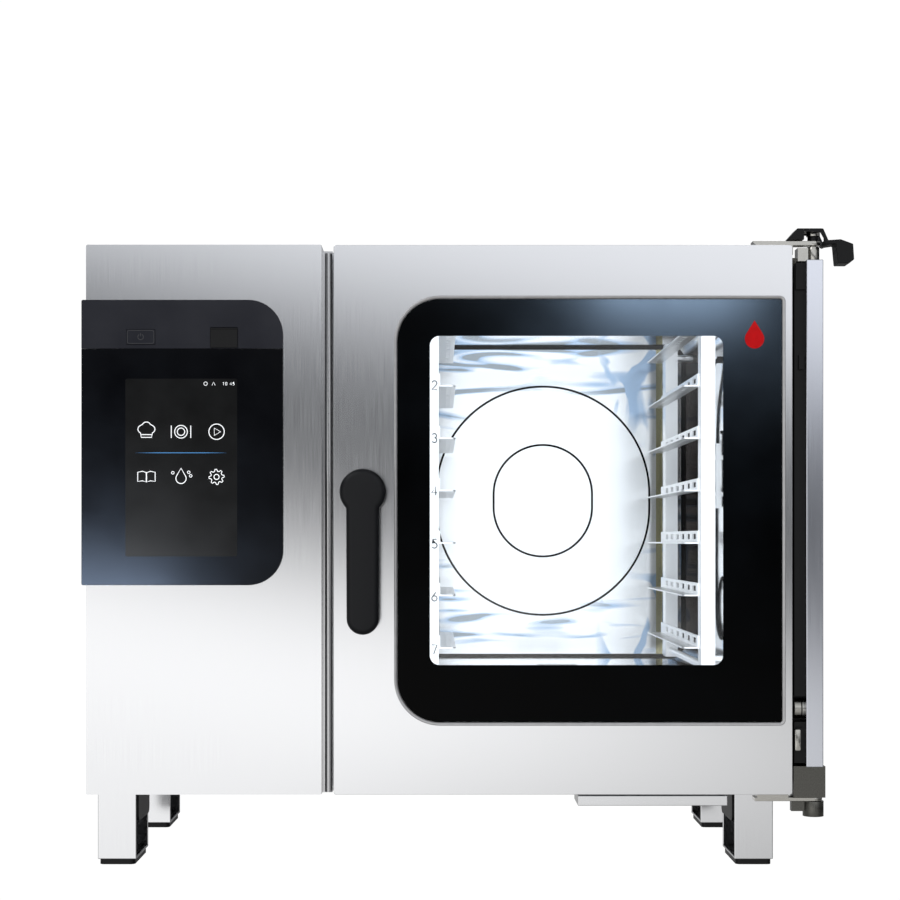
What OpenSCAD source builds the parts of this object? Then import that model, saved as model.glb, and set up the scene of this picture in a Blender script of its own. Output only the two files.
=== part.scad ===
// Six-level table-top combi steamer with a side-hung glass door.
// Millimetres. +Z is up and the front faces -Y. The origin is under the middle of the
// whole oven, on the surface that its feet stand on.

/* [Housing] */
// Width of the sheet housing, from side panel to side panel
housing_w = 860.5; // [840:0.5:1100]
// Depth of the housing, from the door's face to the rear panel
housing_d = 716; // [700:1:900]
// Height of the housing, without its feet and hinge gear
housing_h = 677.4; // [660:0.1:860]
// Width of the control compartment's front
control_w = 290; // [275:1:300]
// Thickness of the outer sheets
sheet = 1.5; // [1:0.1:2.5]
// Width left beside the housing for the hinge gear and its lever
gear_w = 89.5; // [86:0.5:110]
// Height of the hinge gear above the housing
gear_h = 22.6; // [20:0.1:30]
// How far the pipe ends stand out of the rear panel
pipe_reach = 26; // [15:1:40]

/* [Feet] */
// Height of the feet
foot_h = 100; // [80:1:150]
// Width of a foot, seen from the front
foot_w = 49; // [40:1:60]
// Depth of a foot
foot_d = 100; // [60:1:120]
// Distance from the door's face to the front feet
foot_setback = 80; // [40:1:120]
// Distance from the front feet to the rear feet, face to face
foot_pitch = 306; // [200:1:400]
// Height of the black pad under a foot
pad_h = 7; // [4:0.5:12]

/* [Control panel] */
// Width of the control glass
panel_glass_w = 248; // [220:1:260]
// Height of the control glass with its header strip
panel_glass_h = 351; // [300:1:380]
// Height of the glass's lower edge above the housing's bottom
panel_glass_z = 258; // [200:1:290]
// How far the glass stands past the housing's left side
glass_lap = 5; // [3:0.5:8]
// Radius of the glass's right corners
panel_glass_r = 43; // [20:1:50]
// Thickness of the control glass
panel_glass_t = 4; // [3:0.5:6]
// Height of the header strip above the glass
header_h = 60; // [45:1:70]
// Width of the display
display_w = 137.4; // [120:0.1:160]
// Height of the display
display_h = 218.6; // [180:0.1:230]
// Width of the power button
button_w = 35; // [20:0.5:40]
// Height of the power button
button_h = 18.4; // [12:0.1:24]
// Travel of the power button
button_travel = 1.5; // [1:0.1:2]
// Width of the socket cover
flap_w = 33; // [25:0.5:40]
// Height of the socket cover
flap_h = 24.6; // [18:0.1:28]

/* [Door] */
// Gap between the control compartment and the door
seam_w = 15; // [12:0.5:20]
// Thickness of the door
door_t = 60; // [55:1:75]
// How far the door stands past the housing's right side
door_lap = 9.5; // [6:0.5:12]
// Distance from the door's hinge edge to its pivot
pivot_gap = 31.5; // [31.5:0.5:36]
// Gap between the closed door and the front frame
door_gap = 5; // [4:0.5:8]
// Width of the door's outer pane
pane_w = 474; // [420:0.1:480]
// Height of the door's outer pane
pane_h = 521.5; // [480:0.1:580]
// Distance from the pane's lower edge to the door's lower edge
pane_z = 89; // [60:1:100]
// Distance from the pane to the door's hinge edge
pane_inset = 12.5; // [8:0.5:20]
// Radius of the pane's left corners
pane_r = 53; // [20:1:60]
// Thickness of the panes
pane_t = 4.5; // [4:0.1:6]

/* [Handle] */
// How far the handle stands out of the door
handle_proud = 50; // [45:1:65]
// Thickness of the grip
grip_t = 30; // [20:1:34]
// Radius of the handle's head
head_r = 28; // [24:0.5:34]
// Half width of the grip
grip_r = 19.5; // [15:0.5:22]
// Distance from the handle's axis to the tip of the grip
grip_l = 173; // [120:1:200]
// Distance from the handle's axis to the door's free edge
handle_inset = 37.5; // [36:0.5:45]
// Height of the handle's axis above the housing's bottom
handle_z = 372; // [300:1:420]

/* [Oven chamber] */
// Width inside the chamber
chamber_w = 423; // [400:1:430]
// Height inside the chamber
chamber_h = 480; // [470:1:500]
// Depth from the front frame to the air baffle
chamber_d = 535; // [532:1:545]
// Distance from the chamber to the housing's right side
chamber_side = 45.5; // [40:0.5:50]
// Distance from the chamber to the housing's top
chamber_top = 64.4; // [50:0.1:70]
// Space behind the baffle for the fan
fan_space = 38; // [36:1:45]
// Thickness of the insulation
wool_t = 28; // [20:1:30]
// Radius of the fan wheel
wheel_r = 120; // [90:1:125]
// Number of shelf levels
levels = 7; // [4:1:7]
// Height from one shelf level to the next
level_pitch = 68; // [60:1:70]
// Distance between the racks
rack_gap = 338; // [330:1:342]
// Width of the ledges that carry the trays
ledge_w = 22; // [15:1:26]

/* [Connections] */
// Outside radius of the drain pipe
drain_r = 25; // [20:0.5:30]
// Outside radius of the water inlets
inlet_r = 13.2; // [10:0.1:16]
// Outside radius of the steam vents on top
vent_r = 25; // [20:0.5:30]

/* [Hidden] */

$fn = 96;
fit = 0.3;      // gap between pieces that don't touch
running = 0.05; // gap round a shaft or pin
step = 1;       // shoulder where a pipe's end comes out of its panel

// Planes that everything hangs on
x_left = -(glass_lap + housing_w + gear_w) / 2 + glass_lap;
x_right = x_left + housing_w;
x_seam = x_left + control_w;
y_front = -(housing_d + handle_proud + pipe_reach) / 2 + handle_proud;
y_rear = y_front + housing_d;
z_low = foot_h;
z_top = z_low + housing_h;
y_frame = y_front + door_t + door_gap;

door_x = [x_seam + seam_w, x_right + door_lap];
door_z = [z_low, z_top - 0.4];
pivot = [door_x[1] + pivot_gap, y_front + door_t / 2];
reach = pivot_gap - fit; // radius round the pivot that the door never enters
post_x = [pivot[0] - 13, pivot[0] + 8];
post_y = [pivot[1] - 24, pivot[1] + 24];
post_z = [z_low + 33, z_top - 17.4];

chamber_x = [x_right - chamber_side - chamber_w, x_right - chamber_side];
chamber_z = [z_top - chamber_top - chamber_h, z_top - chamber_top];
chamber_r = 25;
chamber_mid = (chamber_x[0] + chamber_x[1]) / 2;
y_baffle = y_frame + chamber_d;
y_liner = y_baffle + fan_space;
fan = [chamber_mid - 7, chamber_z[0] + 241.6]; // fan axis in X and Z
shaft_r = 9;
coil_r = wheel_r + 28;
coil_tube = 4.2;
terminal_r = 5;

rack_y = [y_frame + 42, y_frame + 418]; // front faces of the uprights
level_z = chamber_z[0] + 39.7;
drain_at = [chamber_mid, y_frame + 281];
probe_y = y_front + 255;
gland_at = [chamber_x[1], y_front + 223, chamber_z[1] - 56];
// The probe's lead, as steps from its gland: down the wall, then up from its loop
lead_r = 2.4;
loop_r = 42;
lead_loop = gland_at + [-8, 45, -337];
lead_down = [[-4, 0, 0], [-7, 8, -5], [-8, 27, -20], [-8, 50, -42], [-8, 66, -62], [-8, 74, -90],
    [-8, 77, -125], [-8, 80, -165], [-8, 83, -205], [-8, 85, -245], [-8, 86, -285],
    [-8, 87, -315]];
lead_up = [[-14, 2, -315], [-14, 0, -280], [-14, 0, -240], [-14, 2, -200], [-14, 4, -160],
    [-14, 6, -120], [-14, 10, -92], [-14, 18, -74], [-14, 27, -72], [-14, 31, -80],
    [-14, 32, -94]];
steam_at = [y_frame + 430, chamber_z[0] + 300];
boiler_at = [x_left + 140, steam_at[0]];
boiler_r = 75;

panel_glass_x = [x_left - glass_lap, x_left - glass_lap + panel_glass_w];
glass_z = [z_low + panel_glass_z, z_low + panel_glass_z + panel_glass_h];
header_z = glass_z[1] - header_h;
display_x = x_left + 49.2;
display_z = glass_z[0] + 35.3;
button_x = x_left + 50.5;
button_z = header_z + 5;
flap_x = x_left + 153.9;
flap_z = header_z + 0.8;

pane_x = [door_x[1] - pane_inset - pane_w, door_x[1] - pane_inset];
pane_zz = [door_z[0] + pane_z, door_z[0] + pane_z + pane_h];
handle_at = [door_x[0] + handle_inset, z_low + handle_z];
hub_r = 14;
spindle_r = 8;
cam_l = 30;

foot_x = [x_left, x_right - foot_w];
foot_y = [y_front + foot_setback, y_front + foot_setback + foot_pitch];
drain_axis = [drain_at[0], z_low + 60];
inlet_axes = [[x_left + 120, z_low + 70], [x_left + 190, z_low + 70]];
vent_axes = [[chamber_x[0] - 70, y_rear - 90], [chamber_x[1] - 60, y_rear - 90]];
gland_axis = [x_left + 50, z_low + 60];
cap_z = z_top + gear_h;
lever_at = [x_right + gear_w - 35, z_top + 5.1];
pin_r = 4;

steel = [0.78, 0.79, 0.8];
bright = [0.88, 0.89, 0.9];
black = [0.07, 0.07, 0.08];
anthracite = [0.16, 0.16, 0.18];
grey = [0.45, 0.46, 0.48];
glass = [0.2, 0.25, 0.3];

// A block between two values on each axis
module block(x, y, z) {
    translate([x[0], y[0], z[0]]) cube([x[1] - x[0], y[1] - y[0], z[1] - z[0]]);
}

// Stands a flat X-Z outline between two depths
module slab(y0, y1) {
    translate([0, y1, 0]) rotate([90, 0, 0]) linear_extrude(y1 - y0) children();
}

// A rectangle whose corners have their own radii: top left, top right, lower right, lower left
module rounded(x, z, r) {
    polygon([[x[0] + r[3], z[0]], [x[1] - r[2], z[0]], [x[1], z[0] + r[2]], [x[1], z[1] - r[1]],
        [x[1] - r[1], z[1]], [x[0] + r[0], z[1]], [x[0], z[1] - r[0]], [x[0], z[0] + r[3]]]);
    translate([x[0] + r[0], z[1] - r[0]]) circle(r[0]);
    translate([x[1] - r[1], z[1] - r[1]]) circle(r[1]);
    translate([x[1] - r[2], z[0] + r[2]]) circle(r[2]);
    translate([x[0] + r[3], z[0] + r[3]]) circle(r[3]);
}

function grow(span, by) = [span[0] - by, span[1] + by];
function same(r) = [r, r, r, r];

// An upright oval: two half circles joined by straight sides
module oval(w, h) {
    for (s = [-1, 1]) translate([0, s * (h - w) / 2]) circle(w / 2);
    square([w, h - w], center = true);
}

// A round bar from one point to another
module rod(p, q, r) {
    v = q - p;
    translate(p) rotate([0, acos(v[2] / norm(v)), atan2(v[1], v[0])]) cylinder(h = norm(v), r = r);
}

// A round bar along Y about a point in X and Z
module along_y(at, y0, y1, r) {
    translate([at[0], y0, at[1]]) rotate([-90, 0, 0]) cylinder(h = y1 - y0, r = r);
}

// ---- Housing ----

module base_frame() {
    x = [x_left + sheet, x_right - sheet];
    y = [y_front + sheet, y_rear - sheet];
    color(steel) {
        difference() {
            block(x, [y_frame, y[1]], [z_low, z_low + sheet]);
            translate([drain_at[0], drain_at[1], z_low - 1]) cylinder(h = sheet + 2, r = 20);
        }
        block([x[0], x_seam - sheet], [y[0], y_frame], [z_low, z_low + sheet]);
        for (rail = [x[0], x_seam + 20, x[1] - 40])
            block([rail, rail + 40], [y_frame + sheet, y[1]], [z_low + sheet, z_low + 26]);
        for (cross = [y_frame + sheet, (y_frame + y[1]) / 2, y[1] - 30])
            block(x, [cross, cross + 30], [z_low + sheet, z_low + 20]);
    }
}

module side_slots(y0, count) {
    for (i = [0:count - 1])
        block([x_left - 1, x_left + sheet + 1], [y0 + i * 12, y0 + i * 12 + 4],
            [z_low + 60, z_low + 180]);
}

module left_side_panel() {
    x = [x_left, x_left + sheet];
    color(steel) {
        difference() {
            block(x, [y_front + sheet, y_rear - sheet], [z_low, z_top - sheet]);
            side_slots(y_rear - 260, 16);
            side_slots(y_front + 60, 10);
        }
        block([x[1], x[1] + 12], [y_front + sheet, y_front + 2 * sheet],
            [z_low + 3, glass_z[0] - 20]);
    }
}

module right_side_panel() {
    x = [x_right - sheet, x_right];
    color(steel) {
        block(x, [y_frame, y_rear - sheet], [z_low, z_top - sheet]);
        block([x[0] - 12, x[0]], [y_rear - 2 * sheet, y_rear - sheet], [z_low + 30, z_top - 20]);
    }
}

module rear_panel() {
    color(steel) difference() {
        slab(y_rear - sheet, y_rear)
            rounded([x_left, x_right], [z_low, z_top], same(2));
        along_y(drain_axis, y_rear - 5, y_rear + 5, drain_r - step + fit);
        for (at = inlet_axes) along_y(at, y_rear - 5, y_rear + 5, inlet_r - step + fit);
        along_y(gland_axis, y_rear - 5, y_rear + 5, 14 + fit);
        for (row = [0:7])
            block([x_seam - 210, x_seam - 60], [y_rear - 5, y_rear + 5],
                [z_top - 90 - row * 14, z_top - 85 - row * 14]);
    }
}

module top_panel() {
    color(steel) difference() {
        union() {
            block([x_left, x_right], [y_frame, y_rear - sheet], [z_top - sheet, z_top]);
            block([x_left, x_seam], [y_front + sheet, y_frame], [z_top - sheet, z_top]);
            block([x_seam, x_right - sheet], [y_frame + sheet, y_frame + 2 * sheet],
                [z_top - 15, z_top - sheet]);
        }
        for (at = vent_axes)
            translate([at[0], at[1], z_top - 5]) cylinder(h = 10, r = vent_r - step + fit);
    }
}

module control_front_panel() {
    edge = 12;
    color(bright) {
        slab(y_front, y_front + sheet) difference() {
            rounded([x_left, x_seam], [z_low, z_top], same(2));
            rounded([x_left + edge, panel_glass_x[1] - edge], grow(glass_z, -edge),
                [2, panel_glass_r - edge, panel_glass_r - edge, 2]);
        }
        block([x_seam - sheet, x_seam], [y_front + sheet, y_frame], [z_low, z_top - sheet]);
    }
}

// ---- Controls ----

module panel_outline() {
    rounded(panel_glass_x, glass_z, [2, panel_glass_r, panel_glass_r, 2]);
}

module header_strip() {
    barrel = 1.5;
    color(anthracite) difference() {
        slab(y_front - panel_glass_t, y_front) intersection() {
            panel_outline();
            translate([panel_glass_x[0] - 1, header_z]) square([panel_glass_w + 2, header_h + 1]);
        }
        block([button_x - fit, button_x + button_w + fit], [y_front - 9, y_front + 5],
            [button_z - fit, button_z + button_h + fit]);
        block([flap_x - fit, flap_x + flap_w + fit], [y_front - 9, y_front - panel_glass_t + barrel],
            [flap_z, flap_z + flap_h + 2 * fit]);
        block([flap_x + 9, flap_x + flap_w - 9], [y_front - 9, y_front - 1],
            [flap_z + 9, flap_z + 16]);
    }
}

module control_glass() {
    color(black) slab(y_front - panel_glass_t, y_front) intersection() {
        panel_outline();
        translate([panel_glass_x[0] - 1, glass_z[0] - 1])
            square([panel_glass_w + 2, header_z - fit - glass_z[0] + 1]);
    }
}

module display_module() {
    color(anthracite) {
        block([display_x, display_x + display_w], [y_front, y_front + 9],
            [display_z, display_z + display_h]);
        block([display_x + 12, display_x + display_w - 12], [y_front + 9, y_front + 14],
            [display_z + 14, display_z + display_h - 14]);
    }
}

module power_button() {
    color(anthracite) {
        block([button_x, button_x + button_w], [y_front - panel_glass_t - 0.6, y_front + fit],
            [button_z, button_z + button_h]);
        block([button_x - 2, button_x + button_w + 2], [y_front + fit, y_front + 2],
            [button_z - 2, button_z + button_h + 2]);
        block([button_x + 14, button_x + 21], [y_front + 2, y_front + 7],
            [button_z + 6, button_z + 12]);
    }
}

// The cover hangs from a barrel along its top edge
module usb_cover() {
    y = y_front - panel_glass_t - 0.4;
    top = flap_z + flap_h - 1.2;
    color(black) {
        block([flap_x, flap_x + flap_w], [y - 0.8, y + 0.8], [flap_z + fit, top]);
        translate([flap_x, y, top]) rotate([0, 90, 0]) cylinder(h = flap_w, r = 1.2);
    }
}

module control_board() {
    x = x_left + 24;
    y = y_front + 60;
    color([0.1, 0.35, 0.2]) block([x, x + 2], [y, y + 220], [z_low + 240, z_low + 500]);
    color(anthracite) {
        for (row = [0:2], col = [0:3])
            block([x + 2, x + 8 + 4 * row], [y + 12 + col * 50, y + 42 + col * 50],
                [z_low + 262 + row * 70, z_low + 290 + row * 70]);
        for (col = [0:4])
            translate([x + 1.5, y + 30 + col * 40, z_low + 478]) rotate([0, 90, 0])
                cylinder(h = 30, r = 11);
    }
}

module contactor_box() {
    x = [x_left + 20, x_left + 170];
    y = [y_frame + 30, y_frame + 120];
    color(grey) {
        block(x, y, [z_low + 40, z_low + 130]);
        for (i = [0:3])
            block([x[0] + 6 + i * 37, x[0] + 34 + i * 37], [y[0] + 12, y[1] - 12],
                [z_low + 130, z_low + 152]);
    }
}

module seam_channel() {
    x = [x_seam, door_x[0] - 2.5];
    y = [y_front + 21, y_frame];
    color(bright) difference() {
        block(x, y, [z_low, z_top - 5]);
        block(grow(x, -sheet), grow(y, -sheet), [z_low - 1, z_top - 10]);
    }
}

module seam_trim() {
    color(bright) {
        translate([x_seam + 8, y_front + 14, z_low + 2]) cylinder(h = housing_h - 11, r = 4.5);
        block([x_seam + 7, x_seam + 9], [y_front + 14, y_front + 21], [z_low + 2, z_top - 9]);
    }
}

module front_frame() {
    latch = 36;
    color(steel) {
        slab(y_frame, y_frame + sheet) difference() {
            rounded([x_seam, x_right - sheet], [z_low + sheet, z_top - sheet], same(2));
            rounded(chamber_x, chamber_z, same(chamber_r));
            translate(handle_at) square(2 * latch, center = true);
        }
        difference() {
            block(grow([handle_at[0], handle_at[0]], latch + sheet),
                [y_frame + sheet, y_frame + 20], grow([handle_at[1], handle_at[1]], latch + sheet));
            block(grow([handle_at[0], handle_at[0]], latch), [y_frame, y_frame + 20 - sheet],
                grow([handle_at[1], handle_at[1]], latch));
        }
    }
}

module chamber_gasket() {
    color(black) {
        slab(y_frame - door_gap + 0.4, y_frame) difference() {
            rounded(grow(chamber_x, 22), grow(chamber_z, 22), same(chamber_r + 22));
            rounded(grow(chamber_x, 8), grow(chamber_z, 8), same(chamber_r + 8));
        }
    }
}

// ---- Oven chamber ----

module chamber_liner() {
    color(bright) difference() {
        slab(y_frame + sheet, y_liner + sheet)
            rounded(grow(chamber_x, sheet), grow(chamber_z, sheet), same(chamber_r + sheet));
        slab(y_frame, y_liner) rounded(chamber_x, chamber_z, same(chamber_r));
        along_y(fan, y_liner - 1, y_liner + 5, 16);
        for (s = [-1, 1])
            along_y([fan[0] + s * 30, fan[1] - sqrt(coil_r * coil_r - 900)],
                y_liner - 1, y_liner + 5, terminal_r + fit);
        translate([drain_at[0], drain_at[1], chamber_z[0] - 5]) cylinder(h = 10, r = 40);
        rod([chamber_x[0] - 5, steam_at[0], steam_at[1]],
            [chamber_x[0] + 5, steam_at[0], steam_at[1]], 12 + fit);
        rod(gland_at - [5, 0, 0], gland_at + [5, 0, 0], 5 + fit);
    }
}

module insulation() {
    gap = sheet + fit;
    color([0.75, 0.7, 0.55]) difference() {
        slab(y_frame + 22, y_liner + sheet + 20)
            rounded(grow(chamber_x, gap + wool_t), grow(chamber_z, gap + wool_t), same(30));
        slab(y_frame, y_liner + sheet + fit)
            rounded(grow(chamber_x, gap), grow(chamber_z, gap), same(chamber_r + gap));
        along_y(fan, y_liner - 1, y_liner + 60, 68);
        along_y([fan[0], fan[1] - coil_r], y_liner - 1, y_liner + 60, 45);
        translate([drain_at[0], drain_at[1], chamber_z[0] - 60]) cylinder(h = 70, r = 52);
        rod([chamber_x[0] - 60, steam_at[0], steam_at[1]],
            [chamber_x[0] + 5, steam_at[0], steam_at[1]], 18);
        rod(gland_at, gland_at + [60, 0, 0], 12);
    }
}

ring_w = 333.7;  // the outer oval gap, then the inner one
ring_h = 357.5;
eye_w = 156;
eye_h = 176.3;
slit = 3.2;

module air_baffle() {
    color(bright) {
        slab(y_baffle, y_baffle + sheet) difference() {
            rounded(grow(chamber_x, -4), grow(chamber_z, -4), same(chamber_r - 4));
            translate(fan) oval(ring_w, ring_h);
        }
        for (x = grow(chamber_x, -22), z = grow(chamber_z, -22))
            along_y([x, z], y_baffle + sheet, y_liner, 4);
    }
}

module baffle_ring() {
    color(bright) {
        slab(y_baffle, y_baffle + sheet) translate(fan) difference() {
            oval(ring_w - 2 * slit, ring_h - 2 * slit);
            oval(eye_w, eye_h);
        }
        for (a = [45:90:315])
            along_y(fan + [cos(a), sin(a)] * (coil_r + 9), y_baffle + sheet, y_liner, 3.5);
    }
}

module intake_cover() {
    color(bright) {
        slab(y_baffle, y_baffle + sheet) translate(fan) oval(eye_w - 2 * slit, eye_h - 2 * slit);
        for (s = [-1, 1])
            block(grow([fan[0], fan[0]], 8), [y_baffle + sheet, y_baffle + 2 * sheet],
                [fan[1] + s * (eye_h / 2) - 14, fan[1] + s * (eye_h / 2) + 14]);
    }
}

module fan_wheel() {
    y = [y_baffle + 6, y_liner - 4];
    blades = 14;
    color(bright) difference() {
        union() {
            along_y(fan, y[1] - 2, y[1], wheel_r);
            along_y(fan, y[0] + 4, y[1], 20);
            difference() {
                along_y(fan, y[0], y[0] + 2, wheel_r);
                along_y(fan, y[0] - 1, y[0] + 3, wheel_r - 28);
            }
            for (i = [0:blades - 1])
                translate([fan[0], 0, fan[1]]) rotate([0, i * 360 / blades, 0])
                    translate([wheel_r - 18, 0, 0]) rotate([0, 35, 0])
                        block([-18, 18], y, [-1, 1]);
        }
        along_y(fan, y[0] - 1, y[1] + 1, shaft_r);
    }
}

module motor_shaft() {
    color(steel) along_y(fan, y_baffle + 8, y_liner + 34, shaft_r);
}

module fan_motor() {
    y0 = y_liner + sheet;
    color(grey) difference() {
        union() {
            along_y(fan, y0 - sheet, y0 + 4, 14);
            along_y(fan, y0, y0 + 4, 52);
            along_y(fan, y0 + 4, y_rear - sheet - 3, 58);
            for (a = [15:30:345])
                translate([fan[0], 0, fan[1]]) rotate([0, a, 0])
                    block([56, 63], [y0 + 14, y_rear - sheet - 12], [-1.5, 1.5]);
        }
        along_y(fan, y0 - 5, y_liner + 38, shaft_r + running);
    }
}

module heating_element() {
    drop = sqrt(coil_r * coil_r - 900);
    color(grey) {
        for (i = [0:1])
            translate([fan[0], y_baffle + 13 + i * 14, fan[1]]) rotate([90, 0, 0])
                rotate_extrude() translate([coil_r, 0]) circle(coil_tube);
        for (s = [-1, 1])
            along_y([fan[0] + s * 30, fan[1] - drop], y_baffle + 8, y_liner + 16, terminal_r);
    }
}

module steam_generator() {
    z = [chamber_z[0] - 20, chamber_z[0] + 330];
    color(bright) {
        difference() {
            translate([boiler_at[0], boiler_at[1], z[0]]) cylinder(h = z[1] - z[0], r = boiler_r);
            translate([boiler_at[0], boiler_at[1], z[0] + 3])
                cylinder(h = z[1] - z[0] - 6, r = boiler_r - 3);
        }
        translate([boiler_at[0], boiler_at[1], z[1]]) cylinder(h = 12, r = boiler_r + 10);
        translate([boiler_at[0], boiler_at[1], z[1] + 12]) cylinder(h = 34, r = 30);
        rod([boiler_at[0] + boiler_r - 2, steam_at[0], steam_at[1]],
            [chamber_x[0] + 12, steam_at[0], steam_at[1]], 12);
        for (s = [-1, 1])
            translate([boiler_at[0] + s * 45, boiler_at[1], z_low + 26])
                cylinder(h = z[0] - z_low - 26, r = 8);
    }
}

module condenser_box() {
    x = grow([drain_at[0], drain_at[0]], 110);
    y = [drain_at[1] - 60, y_rear - 60];
    color(steel) {
        difference() {
            union() {
                block(x, y, [z_low + 26, chamber_z[0] - 38]);
                translate([drain_at[0], drain_at[1], chamber_z[0] - 38])
                    cylinder(h = 38 - sheet, r = 44);
            }
            block(grow(x, -2), grow(y, -2), [z_low + 28, chamber_z[0] - 40]);
            translate([drain_at[0], drain_at[1], chamber_z[0] - 60]) cylinder(h = 70, r = 40);
        }
    }
}

module drain_pipe() {
    color(grey) difference() {
        union() {
            along_y(drain_axis, y_rear - 60, y_rear + 1, drain_r - step);
            along_y(drain_axis, y_rear + 1, y_rear + pipe_reach, drain_r);
        }
        along_y(drain_axis, y_rear - 50, y_rear + pipe_reach + 1, drain_r - 4);
    }
}

module vent_stubs() {
    color(steel) for (at = vent_axes) difference() {
        union() {
            translate([at[0], at[1], z_top - 28]) cylinder(h = 29, r = vent_r - step);
            translate([at[0], at[1], z_top + 1]) cylinder(h = gear_h - 7, r = vent_r);
        }
        translate([at[0], at[1], z_top - 20]) cylinder(h = 60, r = vent_r - 3);
    }
}

module water_inlets() {
    for (at = inlet_axes) {
        color(grey) block(grow([at[0], at[0]], 22), [y_rear - 62, y_rear - 6],
            grow([at[1], at[1]], 24));
        color(steel) difference() {
            union() {
                along_y(at, y_rear - 6, y_rear + 1, inlet_r - step);
                along_y(at, y_rear + 1, y_rear + pipe_reach - 4, inlet_r);
            }
            along_y(at, y_rear, y_rear + pipe_reach, inlet_r - 4);
        }
    }
}

// The closed gland that the mains lead would enter by
module cable_gland() {
    color(black) {
        along_y(gland_axis, y_rear - 14, y_rear, 14);
        translate([gland_axis[0], y_rear, gland_axis[1]]) rotate([-90, 0, 0])
            cylinder(h = 7, r = 20, $fn = 6);
        along_y(gland_axis, y_rear + 7, y_rear + 18, 14);
        along_y(gland_axis, y_rear + 18, y_rear + 22, 11);
    }
}

// One rack frame. side is -1 for the left one and 1 for the right one.
module rack(side) {
    inner = chamber_mid + side * rack_gap / 2;
    x = side < 0 ? [inner - 18, inner] : [inner, inner + 18];
    z = [chamber_z[0] + 7, chamber_z[1] - 8];
    mid = inner + side * 9;
    color(bright) {
        for (y = rack_y) {
            block(x, [y - 3, y + 27], z);
            for (end = [z[0] + 20, z[1] - 20])
                rod([mid, y + 12, end], [side < 0 ? chamber_x[0] : chamber_x[1], y + 12, end], 5);
        }
        for (end = [z[0] + 9, z[1] - 9])
            rod([mid, rack_y[0] + 20, end], [mid, rack_y[1] + 5, end], 5);
    }
}

module left_rack() rack(-1);
module right_rack() rack(1);

// Perforated ledges with round front corners
module ledges(side) {
    inner = chamber_mid + side * rack_gap / 2;
    y = [rack_y[0] + 15, rack_y[1] + 40];
    hole = 6;
    x = side < 0 ? [inner, inner + ledge_w] : [inner - ledge_w, inner];
    wall = side < 0 ? [inner, inner + 2] : [inner - 2, inner];
    r = side < 0 ? [1, 1, ledge_w / 2, 1] : [1, 1, 1, ledge_w / 2];
    color(bright) for (i = [0:levels - 1]) translate([0, 0, level_z + i * level_pitch]) {
        linear_extrude(2) difference() {
            rounded(x, y, r);
            for (k = [1:floor((y[1] - y[0]) / 26) - 1])
                translate([chamber_mid + side * (rack_gap / 2 - ledge_w * 0.6), y[0] + 14 + k * 26])
                    square(hole, center = true);
        }
        difference() {
            block(wall, [y[0] + 2, y[1] - 2], [2, 17]);
            for (k = [0:floor((y[1] - y[0]) / 58) - 1])
                block(grow(wall, 1), [y[0] + 20 + k * 58, y[0] + 50 + k * 58], [6, 13]);
        }
    }
}

module left_ledges() ledges(-1);
module right_ledges() ledges(1);

module probe_holder() {
    x = chamber_x[1];
    color(bright) difference() {
        union() {
            block([x - 3, x], [probe_y - 14, probe_y + 14], [chamber_z[0] + 224, chamber_z[0] + 312]);
            for (z = [chamber_z[0] + 240, chamber_z[0] + 290])
                block([x - 24, x - 3], [probe_y - 11, probe_y + 11], [z, z + 6]);
        }
        translate([x - 14, probe_y, chamber_z[0] + 200]) cylinder(h = 130, r = 7 + fit);
    }
}

module core_probe() {
    x = chamber_x[1] - 14;
    color(anthracite) {
        translate([x, probe_y, chamber_z[0] + 226]) cylinder(h = 100, r = 7);
        translate([x, probe_y, chamber_z[0] + 326]) cylinder(h = 4, r = 9);
    }
    color(bright) translate([x, probe_y, chamber_z[0] + 116]) cylinder(h = 110, r = 2);
}

// One ring of the lead's tube about a point of its route, with a tangent of length 1
function lead_ring(p, t) =
    let (side = cross(t, [1, 0, 0]) / norm(cross(t, [1, 0, 0])), out = cross(side, t))
    [for (k = [0:7]) p + lead_r * (cos(k * 45) * out + sin(k * 45) * side)];

// The lead runs from its gland down the wall, round its clipped loop and up to the probe
module probe_lead() {
    route = concat([for (p = lead_down) gland_at + p], [for (i = [0:35]) lead_loop + [
        -i / 6, loop_r * cos(i * 15), -loop_r * sin(i * 15)]], [for (p = lead_up) gland_at + p]);
    last = len(route) - 1;
    step = [for (i = [0:last]) route[min(i + 1, last)] - route[max(i - 1, 0)]];
    rings = [for (i = [0:last]) lead_ring(route[i], step[i] / norm(step[i]))];
    color(black) {
        polyhedron(points = [for (ring = rings) each ring], faces = concat(
            [[for (k = [0:7]) k]], [[for (k = [7:-1:0]) last * 8 + k]],
            [for (i = [0:last - 1], k = [0:7])
                [i * 8 + k, (i + 1) * 8 + k, (i + 1) * 8 + (k + 1) % 8, i * 8 + (k + 1) % 8]]));
        rod(gland_at + [sheet, 0, 0], gland_at - [4, 0, 0], 4.5);
    }
}

module floor_strainer() {
    color(bright) translate([drain_at[0], drain_at[1], chamber_z[0]]) difference() {
        cylinder(h = 3, r = 46);
        for (row = [-3:3]) translate([-28, row * 10 - 2, -1]) cube([56, 4, 5]);
    }
}

// ---- Feet and tray ----

module at_feet() {
    for (i = [0, 1], y = foot_y) translate([foot_x[i], y, 0])
        if (i == 0) children();
        else translate([foot_w, 0, 0]) mirror([1, 0, 0]) children();
}

// A folded sheet leg, open towards the middle of the oven
module foot_columns() {
    wall = 2.5;
    color(bright) at_feet() difference() {
        block([0, foot_w], [0, foot_d], [pad_h, foot_h]);
        block([wall, foot_w + 1], [wall, foot_d - wall], [pad_h + wall, foot_h - wall]);
    }
}

module foot_pads() {
    color(black) at_feet() linear_extrude(pad_h)
        rounded([2, foot_w - 2], [2, foot_d - 2], same(6));
}

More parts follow.
